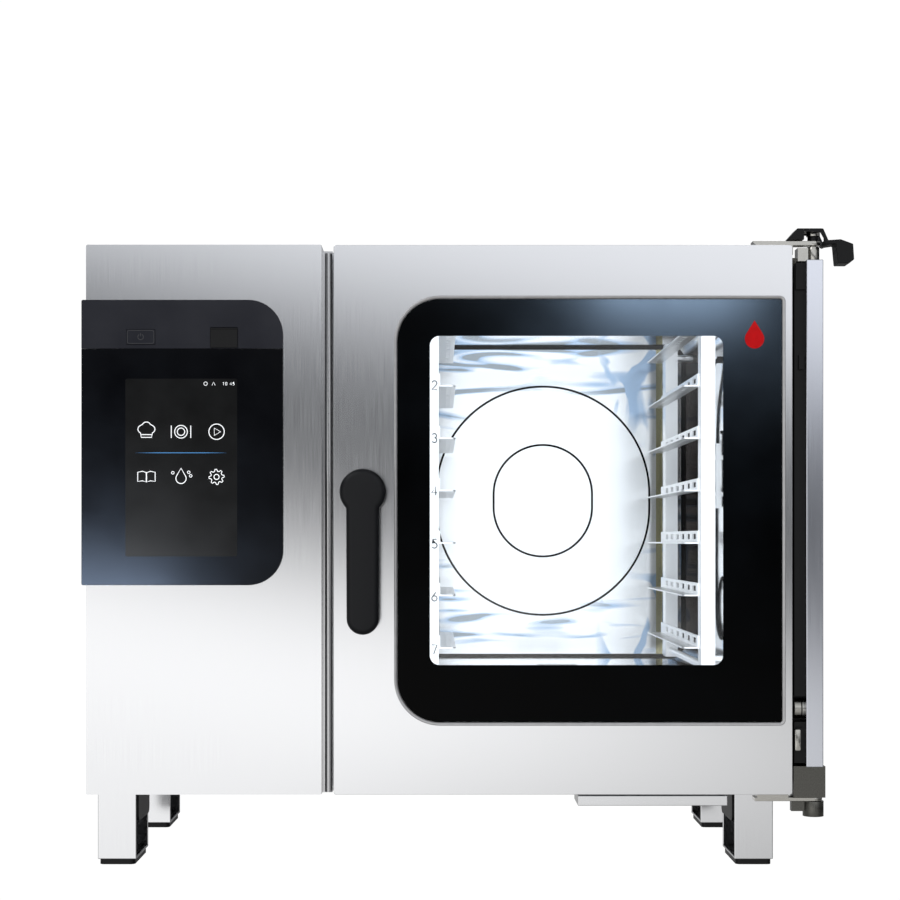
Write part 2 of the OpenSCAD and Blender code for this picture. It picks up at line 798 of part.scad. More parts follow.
module foot_plugs() {
    color(black) at_feet() translate([foot_w - 1, 0, 0]) rotate([90, 0, 90]) linear_extrude(3.5)
        rounded([6, foot_d - 6], [foot_h - 46, foot_h - 4], same(8));
}

module drip_tray() {
    x = [door_x[1] - 264, door_x[1] - 79.5];
    color(bright) difference() {
        block(x, [y_front + 2, y_frame - 2], [z_low - 14, z_low - 2]);
        block(grow(x, -sheet), [y_front + 2 + sheet, y_frame - 2 - sheet], [z_low - 12, z_low]);
    }
    color(bright) block([x[0] + 20, x[1] - 20], [y_frame - 2, y_frame + 20],
        [z_low - 10, z_low]);
}

// ---- Hinge gear at the right side ----

module slide_rails() {
    color(steel) for (z = [[z_low + 4, z_low + 22], [z_top - 20, z_top - 2]]) difference() {
        block([x_right, x_right + 24], [y_frame + 34, y_rear], z);
        block([x_right + 4, x_right + 25], [y_frame + 33, y_rear + 1], grow(z, -4));
    }
}

module hinge_post() {
    color([0.7, 0.73, 0.78]) difference() {
        block(post_x, post_y, post_z);
        for (y = [pivot[1] - 12, pivot[1] + 4])
            block([post_x[1] - 3, post_x[1] + 1], [y, y + 8], grow(post_z, 1));
    }
}

module post_cover() {
    x = [pivot[0] - 26, post_x[0]];
    roller = [pivot[1] - 3, z_low + 104];
    color(black) difference() {
        block(x, grow([pivot[1], pivot[1]], 14), grow(post_z, -4));
        block(grow(x, 1), [pivot[1] - 15, pivot[1] + 6], grow([roller[1], roller[1]], 16));
    }
    color(black) block([x[0] + 1, x[1]], [pivot[1] - 17.5, pivot[1] - 14],
        [post_z[1] - 36, post_z[1] - 3]);
    color(grey) block([x[0] + 5, x[1] - 2], [pivot[1] - 17.5, pivot[1] - 14],
        [z_low + 525, z_low + 543]);
    color(bright) rod([x[0], roller[0], roller[1]], [x[1], roller[0], roller[1]], 12);
    color(grey) block([x[0] + 2, x[0] + 10], [pivot[1] - 17.5, pivot[1] - 14],
        [z_low + 52, z_low + 81]);
}

module gap_cover() {
    color(black) block([x_right, pivot[0] + 3], [y_front + door_t + 0.8, y_frame + 2],
        [z_low + 24, z_top - 18]);
}

// The upper bracket, with the pin that the door turns on
module post_head() {
    z = [post_z[1], z_top - 0.8];
    at = [pivot[0], pivot[1], 0];
    color(grey) {
        block([post_x[0] - 8, post_x[0] + 5], grow([pivot[1], pivot[1]], 10), z);
        block([post_x[0] + 5, post_x[1]], [pivot[1] + 8, y_frame + 60], z);
        block([x_right + 4, post_x[1]], [y_frame + 4, y_frame + 60], [z_top - 16, z_top - 6]);
    }
    color(bright) {
        translate(at + [0, 0, z[0]]) cylinder(h = 18.3, r = 7.7);
        translate(at + [0, 0, z[0]]) cylinder(h = cap_z - 3 - z[0], r = pin_r);
        translate(at + [0, 0, z_top + 14.4]) cylinder(h = 5, r = 8.5);
    }
}

module post_foot() {
    at = [pivot[0], pivot[1], 0];
    color(anthracite) {
        block([pivot[0] - 27, pivot[0] + 12.6], grow([pivot[1], pivot[1]], 14),
            [z_low - 6, post_z[0]]);
        block([post_x[0] + 5, post_x[1]], [pivot[1] + 14, y_frame + 60], [z_low + 4, z_low + 22]);
        block([x_right + 4, post_x[1]], [y_frame + 4, y_frame + 60], [z_low + 8, z_low + 18]);
        translate(at + [0, 0, z_low - 30.3]) cylinder(h = 19, r = 12.9);
        block([pivot[0] - 28, pivot[0] - 8], grow([pivot[1], pivot[1]], 5),
            [z_low - 24, z_low - 12]);
    }
    color(bright) translate(at + [0, 0, z_low - 20]) cylinder(h = 20, r = 6);
}

module hinge_cap() {
    left = pivot[0] - 34.5;
    right = pivot[0] + 8.4;
    ear = 2.6;
    y = grow([pivot[1], pivot[1]], 14);
    color(black) {
        slab(y[0] - 1, y[1] + 1) polygon([[left, z_top + 9], [left + 12.2, cap_z], [right, cap_z],
            [right, cap_z - 3], [pivot[0] - 14, cap_z - 3], [pivot[0] - 14, z_top + 9]]);
        for (side = [y[0] - ear, y[1]]) slab(side, side + ear)
            polygon([[pivot[0] - 12, cap_z - 0.5], [right + 1, cap_z - 0.5],
                [lever_at[0] + 3.4, lever_at[1]], [lever_at[0], lever_at[1] - 3.4],
                [lever_at[0] - 3.4, lever_at[1]], [lever_at[0] - 3.4, z_top + 10.5],
                [right - 2.5, cap_z - 5], [pivot[0] - 12, cap_z - 4]]);
        translate([pivot[0], pivot[1], z_top + 8.6]) difference() {
            cylinder(h = 5.8, r = 7);
            translate([0, 0, -1]) cylinder(h = 8, r = pin_r);
        }
    }
    color(steel) along_y(lever_at, y[0] - ear - 0.8, y[1] + ear + 0.8, 1.5);
}

// The lever that frees the door to slide back along the housing
module release_lever() {
    tip = x_right + gear_w;
    color(black) difference() {
        union() {
            along_y(lever_at, pivot[1] - 13.6, pivot[1] + 13.6, 3.5);
            slab(pivot[1] - 13.6, pivot[1] + 13.6)
                polygon([[lever_at[0], z_top + 2.2], [lever_at[0] + 12.5, z_top + 4],
                    [tip - 20.2, z_top - 20.6], [tip - 6.4, z_top - 20.6], [tip, z_top - 15.5],
                    [tip - 1.2, z_top + 3.9], [tip - 16.5, z_top + 9.5],
                    [lever_at[0], z_top + 8.3]]);
        }
        along_y(lever_at, pivot[1] - 20, pivot[1] + 20, 1.5 + running);
    }
}

module panel_screws() {
    color(steel) {
        for (i = [0:5], z = [z_low + 12, z_top - 12])
            along_y([x_left + 40 + i * (housing_w - 80) / 5, z], y_rear, y_rear + 2.2, 4);
        for (i = [1:3], x = [x_left + 10, x_right - 10])
            along_y([x, z_low + i * housing_h / 4], y_rear, y_rear + 2.2, 4);
    }
}

// ---- Door ----

module door_pan() {
    lip = 3;  // the pressed step round the pane
    rest = 12;
    y_step = y_front + 0.6 + pane_t;
    corner = [pane_r, lip, lip, pane_r];
    color(bright) {
        difference() {
            slab(y_front, y_front + door_t) rounded(door_x, door_z, same(3));
            slab(y_front + sheet, y_front + door_t + 1)
                rounded(grow(door_x, -sheet), grow(door_z, -sheet), same(2));
            slab(y_front - 1, y_front + 5)
                rounded(grow(pane_x, lip), grow(pane_zz, lip), corner + same(lip));
            along_y(handle_at, y_front - 1, y_front + 5, hub_r + fit);
        }
        slab(y_front + sheet, y_step + sheet) difference() {
            rounded(grow(pane_x, lip + sheet), grow(pane_zz, lip + sheet),
                corner + same(lip + sheet));
            rounded(grow(pane_x, lip), grow(pane_zz, lip), corner + same(lip));
        }
        slab(y_step, y_step + sheet) difference() {
            rounded(grow(pane_x, lip + 0.5), grow(pane_zz, lip + 0.5), corner + same(lip));
            rounded(grow(pane_x, -rest), grow(pane_zz, -rest),
                [pane_r - rest, 2, 2, pane_r - rest]);
        }
    }
}

module door_glass() {
    color(black) slab(y_front + 0.6, y_front + 0.6 + pane_t)
        rounded(pane_x, pane_zz, [pane_r, 3, 3, pane_r]);
}

core_t = 14;
inner_x = grow(chamber_x, 29);
inner_z = grow(chamber_z, 29);

module door_core() {
    y1 = y_front + door_t;
    color(anthracite) difference() {
        slab(y1 - core_t, y1)
            rounded(grow(door_x, -sheet), grow(door_z, -sheet), same(2));
        slab(y1 - core_t - 1, y1 + 1) rounded(grow(inner_x, -12), grow(inner_z, -12), same(30));
        slab(y1 - pane_t - 0.5, y1 + 1) rounded(grow(inner_x, 0.5), grow(inner_z, 0.5), same(42));
        along_y(handle_at, y1 - core_t - 1, y1 + 1, spindle_r + 2);
    }
}

module inner_pane() {
    y1 = y_front + door_t - 0.5;
    color(glass) slab(y1 - pane_t, y1) rounded(inner_x, inner_z, same(41.5));
}

// Hinge plates on the door's top and underside, with the bores for the two pins
module door_plates() {
    y = grow([pivot[1], pivot[1]], 11);
    upper = grow([pivot[1], pivot[1]], 8.5);
    at = [pivot[0], pivot[1], 0];
    color(bright) {
        difference() {
            union() {
                slab(upper[0], upper[1]) polygon([[door_x[1] - 41, z_top + 2.6], [pivot[0], z_top + 2.6],
                    [pivot[0], z_top + 8], [door_x[1] - 45, z_top + 8], [door_x[1] - 45, z_top + 6]]);
                translate(at + [0, 0, z_top + 2.6]) cylinder(h = 5.4, r = 9);
                block([door_x[1] - 38, door_x[1] - 6], upper, [door_z[1], z_top + 2.6]);
                block([door_x[1] + 1, door_x[1] + 5], upper, [z_top - 9, z_top + 2.6]);
            }
            translate(at + [0, 0, z_top]) cylinder(h = 12, r = pin_r + running);
        }
        difference() {
            union() {
                block([door_x[1] - 43, pivot[0]], y, [z_low - 10.8, z_low - 6.3]);
                translate(at + [0, 0, z_low - 10.8]) cylinder(h = 4.5, r = 11);
                block([door_x[1] - 40, door_x[1] - 1], y, [z_low - 6.3, z_low]);
            }
            translate(at + [0, 0, z_low - 12]) cylinder(h = 8, r = 6 + running);
        }
    }
}

module latch_case() {
    y = [y_front + sheet, y_front + door_t - core_t];
    color(grey) difference() {
        block(grow([handle_at[0], handle_at[0]], 26), y, grow([handle_at[1], handle_at[1]], 40));
        along_y(handle_at, y[0] - 1, y[0] + 4, hub_r + 1);
        along_y(handle_at, y[0], y[1] + 1, spindle_r + running);
    }
}

// Grip, hub, spindle and latch cam, which turn as one
module handle() {
    y = [y_front - handle_proud, y_front - handle_proud + grip_t];
    tip = handle_at[1] - grip_l + grip_r;
    cam_y = y_frame + 3;
    color(anthracite) {
        slab(y[0], y[1]) {
            translate(handle_at) circle(head_r);
            translate([handle_at[0], tip]) circle(grip_r);
            polygon([[handle_at[0] - grip_r, tip], [handle_at[0] + grip_r, tip],
                [handle_at[0] + grip_r + 0.5, handle_at[1]],
                [handle_at[0] - grip_r - 0.5, handle_at[1]]]);
        }
        along_y(handle_at, y[1], y_front + sheet, hub_r);
    }
    color(bright) {
        along_y(handle_at, y_front + sheet, cam_y + 6, spindle_r);
        block(grow([handle_at[0], handle_at[0]], spindle_r), [cam_y, cam_y + 6],
            [handle_at[1] - cam_l, handle_at[1]]);
    }
}

base_frame();
left_side_panel();
right_side_panel();
rear_panel();
top_panel();
control_front_panel();
header_strip();
control_glass();
display_module();
control_board();
contactor_box();
seam_channel();
seam_trim();
front_frame();
chamber_gasket();
chamber_liner();
insulation();
air_baffle();
baffle_ring();
intake_cover();
fan_wheel();
motor_shaft();
fan_motor();
heating_element();
steam_generator();
condenser_box();
drain_pipe();
vent_stubs();
water_inlets();
cable_gland();
left_rack();
right_rack();
left_ledges();
right_ledges();
core_probe();
probe_holder();
probe_lead();
floor_strainer();
foot_columns();
foot_pads();
foot_plugs();
drip_tray();
slide_rails();
hinge_post();
post_cover();
gap_cover();
post_head();
post_foot();
hinge_cap();
panel_screws();
door_pan();
door_glass();
inner_pane();
door_core();
door_plates();
latch_case();
handle();
release_lever();
usb_cover();
power_button();
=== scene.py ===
import bpy
import bmesh
from math import cos, sin, pi, hypot, radians
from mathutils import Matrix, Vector


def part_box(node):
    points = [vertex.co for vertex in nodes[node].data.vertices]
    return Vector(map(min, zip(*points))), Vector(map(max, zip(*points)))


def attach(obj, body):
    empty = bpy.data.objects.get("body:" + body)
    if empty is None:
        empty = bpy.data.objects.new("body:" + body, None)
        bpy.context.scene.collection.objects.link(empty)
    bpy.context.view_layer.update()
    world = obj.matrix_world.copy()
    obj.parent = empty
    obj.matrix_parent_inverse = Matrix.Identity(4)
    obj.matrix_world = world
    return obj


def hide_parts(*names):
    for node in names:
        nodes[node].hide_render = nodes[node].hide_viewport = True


# Combi steamer oven: CAD frame with real finishes, printed glass, controls, grip and fittings.

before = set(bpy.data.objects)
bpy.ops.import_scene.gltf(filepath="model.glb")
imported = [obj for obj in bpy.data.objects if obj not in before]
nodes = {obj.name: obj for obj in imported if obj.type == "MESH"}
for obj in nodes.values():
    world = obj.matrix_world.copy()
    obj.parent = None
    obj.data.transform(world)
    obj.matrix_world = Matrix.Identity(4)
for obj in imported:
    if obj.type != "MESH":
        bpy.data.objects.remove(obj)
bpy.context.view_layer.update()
mm = 0.001


# Camera and light

camera = {
    "distance": 2300 * mm,      # from the door's face
    "aside": -39.8 * mm,        # left of the oven's middle
    "height": 413.6 * mm,
    "lens": 74.7,
    "shiftX": 0.0141,
    "shiftY": 0.1,
}
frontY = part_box("door_pan")[0][1]

camData = bpy.data.cameras.new("camera")
camData.lens = camera["lens"]
camData.sensor_width = 36
camData.shift_x = camera["shiftX"]
camData.shift_y = camera["shiftY"]
cam = bpy.data.objects.new("camera", camData)
cam.location = (camera["aside"], frontY - camera["distance"], camera["height"])
cam.rotation_euler = (pi / 2, 0, 0)
bpy.context.collection.objects.link(cam)
bpy.context.scene.camera = cam
bpy.context.scene.view_settings.view_transform = "Standard"
print("camera ready")


def hexColour(code, alpha=1.0):
    parts = [int(code[i:i + 2], 16) / 255 for i in (1, 3, 5)]
    linear = [c / 12.92 if c <= 0.04045 else ((c + 0.055) / 1.055) ** 2.4 for c in parts]
    return (*linear, alpha)


def addNode(tree, kind, settings=None, links=None):
    node = tree.nodes.new(kind)
    for key, value in (settings or {}).items():
        if key in node.inputs:
            node.inputs[key].default_value = value
        else:
            setattr(node, key, value)
    for key, source in (links or {}).items():
        tree.links.new(source, node.inputs[key])
    return node


def setRamp(node, stops):
    ramp = node.color_ramp
    while len(ramp.elements) < len(stops):
        ramp.elements.new(0.5)
    for element, (place, colour) in zip(ramp.elements, stops):
        element.position = place
        element.color = colour


# The studio: white to the camera, and for the steel a bright sweep, a dim band and a pale ceiling
room = {
    "strength": 1.6,
    "tilt": 0.2,                # how far the band drops towards the hinge side
    "patch": 0.5,               # the floor's brightness towards the hinge side
    "patchLean": -0.5,
    "patchRange": (-0.25, -0.09),
    "flags": 0.55,              # strength at the sides and behind
    "flagRange": (-0.85, -0.4),
    "seenWhite": 1.03,
    # height of the direction looked in, and the shade met there
    "grade": ((-0.3, "#e0e0e0"), (-0.15, "#e8e8e8"), (-0.12, "#f2f2f2"), (-0.1, "#fbfbfb"),
              (-0.055, "#fbfbfb"), (-0.035, "#d6d6d6"), (-0.005, "#7b7c7e"), (0.025, "#47484a"),
              (0.065, "#38393b"), (0.095, "#6d6f72"), (0.125, "#c3c5c9"), (0.165, "#e8eaee"),
              (0.4, "#ced0d3")),
}
world = bpy.data.worlds.new("studio")
bpy.context.scene.world = world
world.use_nodes = True
tree = world.node_tree
tree.nodes.clear()
coords = addNode(tree, "ShaderNodeTexCoord")
split = addNode(tree, "ShaderNodeSeparateXYZ", links={"Vector": coords.outputs["Generated"]})
tilted = addNode(tree, "ShaderNodeMath", {"operation": "MULTIPLY_ADD"})
tree.links.new(split.outputs["X"], tilted.inputs[0])
tilted.inputs[1].default_value = room["tilt"]
tree.links.new(split.outputs["Z"], tilted.inputs[2])
lift = addNode(tree, "ShaderNodeMapRange", {"From Min": -0.5, "From Max": 0.5},
               {"Value": tilted.outputs[0]})
grade = addNode(tree, "ShaderNodeValToRGB", links={"Fac": lift.outputs["Result"]})
setRamp(grade, [(0.5 + height, hexColour(shade)) for height, shade in room["grade"]])
aside = addNode(tree, "ShaderNodeMath", {"operation": "MULTIPLY_ADD"})
tree.links.new(split.outputs["X"], aside.inputs[0])
aside.inputs[1].default_value = room["patchLean"]
tree.links.new(split.outputs["Z"], aside.inputs[2])
# A darker patch of floor towards the hinge side, and dark flags at the sides and behind
patch = addNode(tree, "ShaderNodeMapRange",
                {"From Min": room["patchRange"][0], "From Max": room["patchRange"][1],
                 "To Min": room["patch"], "To Max": 1.0},
                {"Value": aside.outputs[0]})
flags = addNode(tree, "ShaderNodeMapRange",
                {"From Min": room["flagRange"][0], "From Max": room["flagRange"][1],
                 "To Min": room["strength"], "To Max": room["flags"]}, {"Value": split.outputs["Y"]})
level = addNode(tree, "ShaderNodeMath", {"operation": "MULTIPLY"})
tree.links.new(patch.outputs[0], level.inputs[0])
tree.links.new(flags.outputs[0], level.inputs[1])
glow = addNode(tree, "ShaderNodeBackground",
               links={"Color": grade.outputs["Color"], "Strength": level.outputs[0]})
white = addNode(tree, "ShaderNodeBackground", {"Color": (1, 1, 1, 1), "Strength": room["seenWhite"]})
rays = addNode(tree, "ShaderNodeLightPath")
either = addNode(tree, "ShaderNodeMixShader")
tree.links.new(rays.outputs["Is Camera Ray"], either.inputs[0])
tree.links.new(glow.outputs[0], either.inputs[1])
tree.links.new(white.outputs[0], either.inputs[2])
out = addNode(tree, "ShaderNodeOutputWorld")
tree.links.new(either.outputs[0], out.inputs["Surface"])


def areaLight(name, place, target, size, power, colour="#ffffff", only=None):
    data = bpy.data.lights.new(name, "AREA")
    data.shape = "RECTANGLE"
    data.size, data.size_y = size
    data.energy = power
    data.color = hexColour(colour)[:3]
    lamp = bpy.data.objects.new(name, data)
    lamp.location = place
    lamp.rotation_euler = (Vector(target) - Vector(place)).to_track_quat("-Z", "Y").to_euler()
    lamp.visible_camera = False
    bpy.context.collection.objects.link(lamp)
    if only:
        lit = bpy.data.collections.new(name + " receivers")
        for piece in only:
            lit.objects.link(piece)
        lamp.light_linking.receiver_collection = lit


aim = (0, 0, 0.4)
roomLamps = {"key": ((-1.8, -2.0, 2.6), (1.4, 1.0), 14), "rim_light": ((1.6, 2.2, 2.4), (1.8, 1.0), 18)}
for lampName, (lampPlace, lampSize, lampPower) in roomLamps.items():
    areaLight(lampName, lampPlace, aim, lampSize, lampPower)

# Finishes


def newMaterial(name, **values):
    made = bpy.data.materials.new(name)
    made.use_nodes = True
    shader = made.node_tree.nodes["Principled BSDF"]
    for key, value in values.items():
        shader.inputs[key.replace("_", " ")].default_value = value
    return made, made.node_tree, shader


def addGrain(tree, shader, settings):
    place = addNode(tree, "ShaderNodeTexCoord")
    spacing = [1 / (v * mm) for v in settings["spacing"]]
    scaled = addNode(tree, "ShaderNodeMapping", {"Scale": spacing},
                     {"Vector": place.outputs["Object"]})
    noise = addNode(tree, "ShaderNodeTexNoise", {"Scale": 1.0, "Detail": settings.get("detail", 3)},
                    {"Vector": scaled.outputs[0]})
    if "colours" in settings:
        tint = addNode(tree, "ShaderNodeValToRGB", links={"Fac": noise.outputs["Fac"]})
        setRamp(tint, [(0.3, hexColour(settings["colours"][0])),
                       (0.7, hexColour(settings["colours"][1]))])
        tree.links.new(tint.outputs["Color"], shader.inputs["Base Color"])
    if "rough" in settings:
        rough = addNode(tree, "ShaderNodeMapRange",
                        {"From Min": 0.3, "From Max": 0.7, "To Min": settings["rough"][0],
                         "To Max": settings["rough"][1]}, {"Value": noise.outputs["Fac"]})
        tree.links.new(rough.outputs[0], shader.inputs["Roughness"])
    if "bump" in settings:
        bump = addNode(tree, "ShaderNodeBump",
                       {"Strength": settings.get("strength", 0.3),
                        "Distance": settings["bump"] * mm}, {"Height": noise.outputs["Fac"]})
        tree.links.new(bump.outputs[0], shader.inputs["Normal"])


def finish(name, settings, **values):
    made, tree, shader = newMaterial(name, **values)
    addGrain(tree, shader, settings)
    return made


# Brushed 1.4301 sheet: fine streaks along the grain and a satin sheen that still mirrors the room
brushedAcross = finish("brushed stainless, grain along X", {
    "spacing": (60, 0.5, 0.5), "colours": ("#d4d4d6", "#dadbdc"), "rough": (0.12, 0.16),
    "bump": 0.003, "strength": 0.2}, Metallic=1.0)
brushedUp = finish("brushed stainless, grain along Z", {
    "spacing": (0.5, 0.5, 60), "colours": ("#d4d4d6", "#dadbdc"), "rough": (0.12, 0.16),
    "bump": 0.003, "strength": 0.2}, Metallic=1.0)
# The seam's folded sheet keeps its mill finish, which reads a shade darker than the brushed faces
seamSteel = finish("mill-finish folded stainless", {
    "spacing": (0.5, 0.5, 60), "colours": ("#b4b4b5", "#bcbcbd"), "rough": (0.14, 0.18)},
    Metallic=1.0)
# Bright-rolled chamber sheet: a mirror with long, shallow waves
polished = finish("bright rolled stainless", {
    "spacing": (160, 160, 160), "colours": ("#f0f1f2", "#f7f7f8"), "rough": (0.06, 0.1),
    "bump": 0.5, "strength": 0.3}, Metallic=1.0)
# Pressed baffle sheet: flatter and whiter than the liner round it
pressedBright = finish("pressed bright stainless", {
    "spacing": (220, 220, 220), "colours": ("#f0f0f0", "#f6f6f6"), "rough": (0.16, 0.22),
    "bump": 0.1, "strength": 0.2}, Metallic=1.0)

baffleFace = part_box("intake_cover")[0][1]
# Depth behind the baffle's face where the painted shade starts
paintedShadeDepth = 0.2 * mm


# Blends a second colour in where the mask is 1; grazing also dims the mirror seen at flat angles
def tintSheet(made, mask, code, grazing=False):
    tree = made.node_tree
    shader = tree.nodes["Principled BSDF"]
    mix = addNode(tree, "ShaderNodeMix", {"data_type": "RGBA"})
    tree.links.new(mask, mix.inputs["Factor"])
    tree.links.new(shader.inputs["Base Color"].links[0].from_socket, mix.inputs[6])
    mix.inputs[7].default_value = hexColour(code)
    tree.links.new(mix.outputs[2], shader.inputs["Base Color"])
    if grazing:
        edge = addNode(tree, "ShaderNodeMix", {"data_type": "RGBA"})
        tree.links.new(mask, edge.inputs["Factor"])
        edge.inputs[6].default_value = (1, 1, 1, 1)
        edge.inputs[7].default_value = hexColour(code)
        tree.links.new(edge.outputs[2], shader.inputs["Specular Tint"])


def fade(tree, value, low, high):
    ramp = addNode(tree, "ShaderNodeMapRange", {"From Min": low, "From Max": high}, {"Value": value})
    return ramp.outputs[0]


def product(tree, one, other):
    both = addNode(tree, "ShaderNodeMath", {"operation": "MULTIPLY"})
    tree.links.new(one, both.inputs[0])
    tree.links.new(other, both.inputs[1])
    return both.outputs[0]


# Painted shade: everything behind the baffle's face is coloured near black, which draws its slits
for sheet in (pressedBright, polished):
    tree = sheet.node_tree
    place = addNode(tree, "ShaderNodeTexCoord")
    axes = addNode(tree, "ShaderNodeSeparateXYZ", links={"Vector": place.outputs["Object"]})
    behind = addNode(tree, "ShaderNodeMath", {"operation": "GREATER_THAN"})
    tree.links.new(axes.outputs["Y"], behind.inputs[0])
    behind.inputs[1].default_value = baffleFace + paintedShadeDepth
    tintSheet(sheet, behind.outputs[0], "#17120e")

# Painted reflections: outside the suction ring, blue-grey streaks and patches stand in for mirror images in
# the sheet; the olive strip up its edge is painted shade
# Painted reflections and painted shade on the baffle sheet, not heat tint
paintedReflectionAndShade = {
    "ring": (168 * mm, 196 * mm),       # no streaks nearer the fan's axis, all of them beyond
    "hinge": (205 * mm, 225 * mm),      # patches only on this side
    "margin": (300 * mm, 310 * mm),     # olive strip up the baffle's edge
    "edge": 0.5 * mm,
    "olive": "#b3ad88",
    # size of the pattern in mm, noise where it starts and is full, colour, distortion
    "bands": (((210, 400, 34), 0.54, 0.64, "#a9bfd8", 1.4),
              ((210, 400, 34), 0.635, 0.65, "#999fa3", 1.4),
              ((46, 400, 90), 0.57, 0.6, "#a9bfd8", 0.8)),
}
ringLow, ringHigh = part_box("intake_cover")
ringAt = ((ringLow[0] + ringHigh[0]) / 2, 0.0, (ringLow[2] + ringHigh[2]) / 2)
tree = pressedBright.node_tree
place = addNode(tree, "ShaderNodeTexCoord")
flat = addNode(tree, "ShaderNodeVectorMath", {"operation": "MULTIPLY"})
tree.links.new(place.outputs["Object"], flat.inputs[0])
flat.inputs[1].default_value = (1, 0, 1)
reach = addNode(tree, "ShaderNodeVectorMath", {"operation": "DISTANCE"})
tree.links.new(flat.outputs[0], reach.inputs[0])
reach.inputs[1].default_value = ringAt
outside = fade(tree, reach.outputs["Value"], *paintedReflectionAndShade["ring"])
parts = addNode(tree, "ShaderNodeSeparateXYZ", links={"Vector": place.outputs["Object"]})
hingeSide = product(tree, outside, fade(tree, parts.outputs["X"], *paintedReflectionAndShade["hinge"]))
for (spread, low, high, code, warp), zone in zip(paintedReflectionAndShade["bands"], (outside, outside, hingeSide)):
    scaled = addNode(tree, "ShaderNodeMapping", {"Scale": [1 / (v * mm) for v in spread]},
                     {"Vector": place.outputs["Object"]})
    waves = addNode(tree, "ShaderNodeTexNoise", {"Scale": 1.0, "Detail": 1.5, "Distortion": warp},
                    {"Vector": scaled.outputs[0]})
    tintSheet(pressedBright, product(tree, fade(tree, waves.outputs["Fac"], low, high), zone), code)
# Painted shade: an olive strip up the baffle's right margin
near, far = paintedReflectionAndShade["margin"]
margin = product(tree, fade(tree, parts.outputs["X"], near - paintedReflectionAndShade["edge"], near),
                 fade(tree, parts.outputs["X"], far, far - paintedReflectionAndShade["edge"]))
tintSheet(pressedBright, margin, paintedReflectionAndShade["olive"])
# A soft brown strip on the liner's wall stands in for the dark mirror image beside the rack
wall = {
    "from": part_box("right_rack")[1][0] - 4 * mm,
    "edge": 3 * mm,
    "middle": 152 * mm,
    "half": 86 * mm,
    "soft": 10 * mm,
    "brown": "#3d3029",
}
tree = polished.node_tree
place = addNode(tree, "ShaderNodeTexCoord")
axes = addNode(tree, "ShaderNodeSeparateXYZ", links={"Vector": place.outputs["Object"]})
shifted = addNode(tree, "ShaderNodeMath", {"operation": "SUBTRACT"})
tree.links.new(axes.outputs["Y"], shifted.inputs[0])
shifted.inputs[1].default_value = wall["middle"]
fromMiddle = addNode(tree, "ShaderNodeMath", {"operation": "ABSOLUTE"})
tree.links.new(shifted.outputs[0], fromMiddle.inputs[0])
strip = fade(tree, fromMiddle.outputs[0], wall["half"], wall["half"] - wall["soft"])
hingeWall = fade(tree, axes.outputs["X"], wall["from"], wall["from"] + wall["edge"])
tintSheet(polished, product(tree, strip, hingeWall), wall["brown"], grazing=True)
# Electropolished ledges: brighter and whiter than the walls
electroPolished = finish("electropolished stainless", {
    "spacing": (60, 60, 60), "colours": ("#f8f8f8", "#fdfdfd"), "rough": (0.32, 0.38)},
    Metallic=1.0)
# Machined hinge steel: bright with a fine turned sheen
machined = finish("machined hinge steel", {
    "spacing": (6, 6, 1.2), "colours": ("#a9a7a1", "#bab8b2"), "rough": (0.14, 0.22)}, Metallic=1.0)
# Cast hinge foot: dark satin metal that still draws a highlight round its barrel
castDark = finish("dark cast hinge metal", {
    "spacing": (1.5, 1.5, 1.5), "colours": ("#5b5a56", "#686762"), "rough": (0.26, 0.34),
    "bump": 0.02}, Metallic=1.0)
# Drawn edge of the window opening: duller than the sheet round it
drawnEdge = finish("drawn steel edge", {
    "spacing": (9, 9, 9), "colours": ("#b4b3b3", "#c0bfbf"), "rough": (0.4, 0.46)}, Metallic=1.0)
zincSteel = finish("galvanised steel", {
    "spacing": (18, 18, 18), "colours": ("#8f9396", "#a9adb0"), "rough": (0.35, 0.5)}, Metallic=1.0)
# Satin anodised extrusion: cool grey with fine draw lines
anodised = finish("satin anodised aluminium", {
    "spacing": (0.8, 0.8, 120), "colours": ("#ccced6", "#d2d5dc"), "rough": (0.12, 0.16),
    "bump": 0.02}, Metallic=1.0)
# Moulded glass-filled nylon: fine spark texture, dull grey-black
mouldedNylon = finish("moulded anthracite nylon", {
    "spacing": (0.9, 0.9, 0.9), "colours": ("#101114", "#141518"), "rough": (0.34, 0.44),
    "bump": 0.05, "strength": 0.3}, Specular_IOR_Level=0.22)
mouldedBlack = finish("moulded black nylon", {
    "spacing": (0.9, 0.9, 0.9), "colours": ("#060607", "#0b0b0c"), "rough": (0.34, 0.46),
    "bump": 0.05, "strength": 0.3}, Specular_IOR_Level=0.25)
greyPlastic = finish("moulded grey polypropylene", {
    "spacing": (1.2, 1.2, 1.2), "colours": ("#7c7e81", "#888a8d"), "rough": (0.45, 0.55)})
# Powder coat: orange peel of about 2 mm
powderGrey = finish("grey powder coat", {
    "spacing": (2, 2, 2), "colours": ("#55575a", "#606265"), "rough": (0.4, 0.5), "bump": 0.08})
# Extruded silicone: matt with a faint bloom
silicone = finish("black silicone", {
    "spacing": (4, 4, 4), "colours": ("#161617", "#232324"), "rough": (0.55, 0.7), "bump": 0.04})
woolMat = finish("mineral wool", {
    "spacing": (3, 3, 14), "colours": ("#a89c72", "#c9bf98"), "rough": (0.9, 1.0), "bump": 1.2,
    "strength": 0.8})
heatedSheath = finish("heat-tinted nickel sheath", {
    "spacing": (20, 20, 20), "colours": ("#5c5148", "#7d7064"), "rough": (0.4, 0.5)}, Metallic=1.0)
lacquer = finish("green solder lacquer", {
    "spacing": (5, 5, 5), "colours": ("#0e4a2a", "#14603a"), "rough": (0.2, 0.35)})
# Back-printed control glass: deep black with a clean gloss and the faintest smear
controlBlack = finish("back-printed control glass", {
    "spacing": (70, 70, 70), "colours": ("#010102", "#030304"), "rough": (0.14, 0.18)},
    Specular_IOR_Level=0.09)
headerGloss = finish("moulded glossy header", {
    "spacing": (60, 60, 60), "colours": ("#26272e", "#2b2c33"), "rough": (0.16, 0.24)},
    Specular_IOR_Level=0.2)
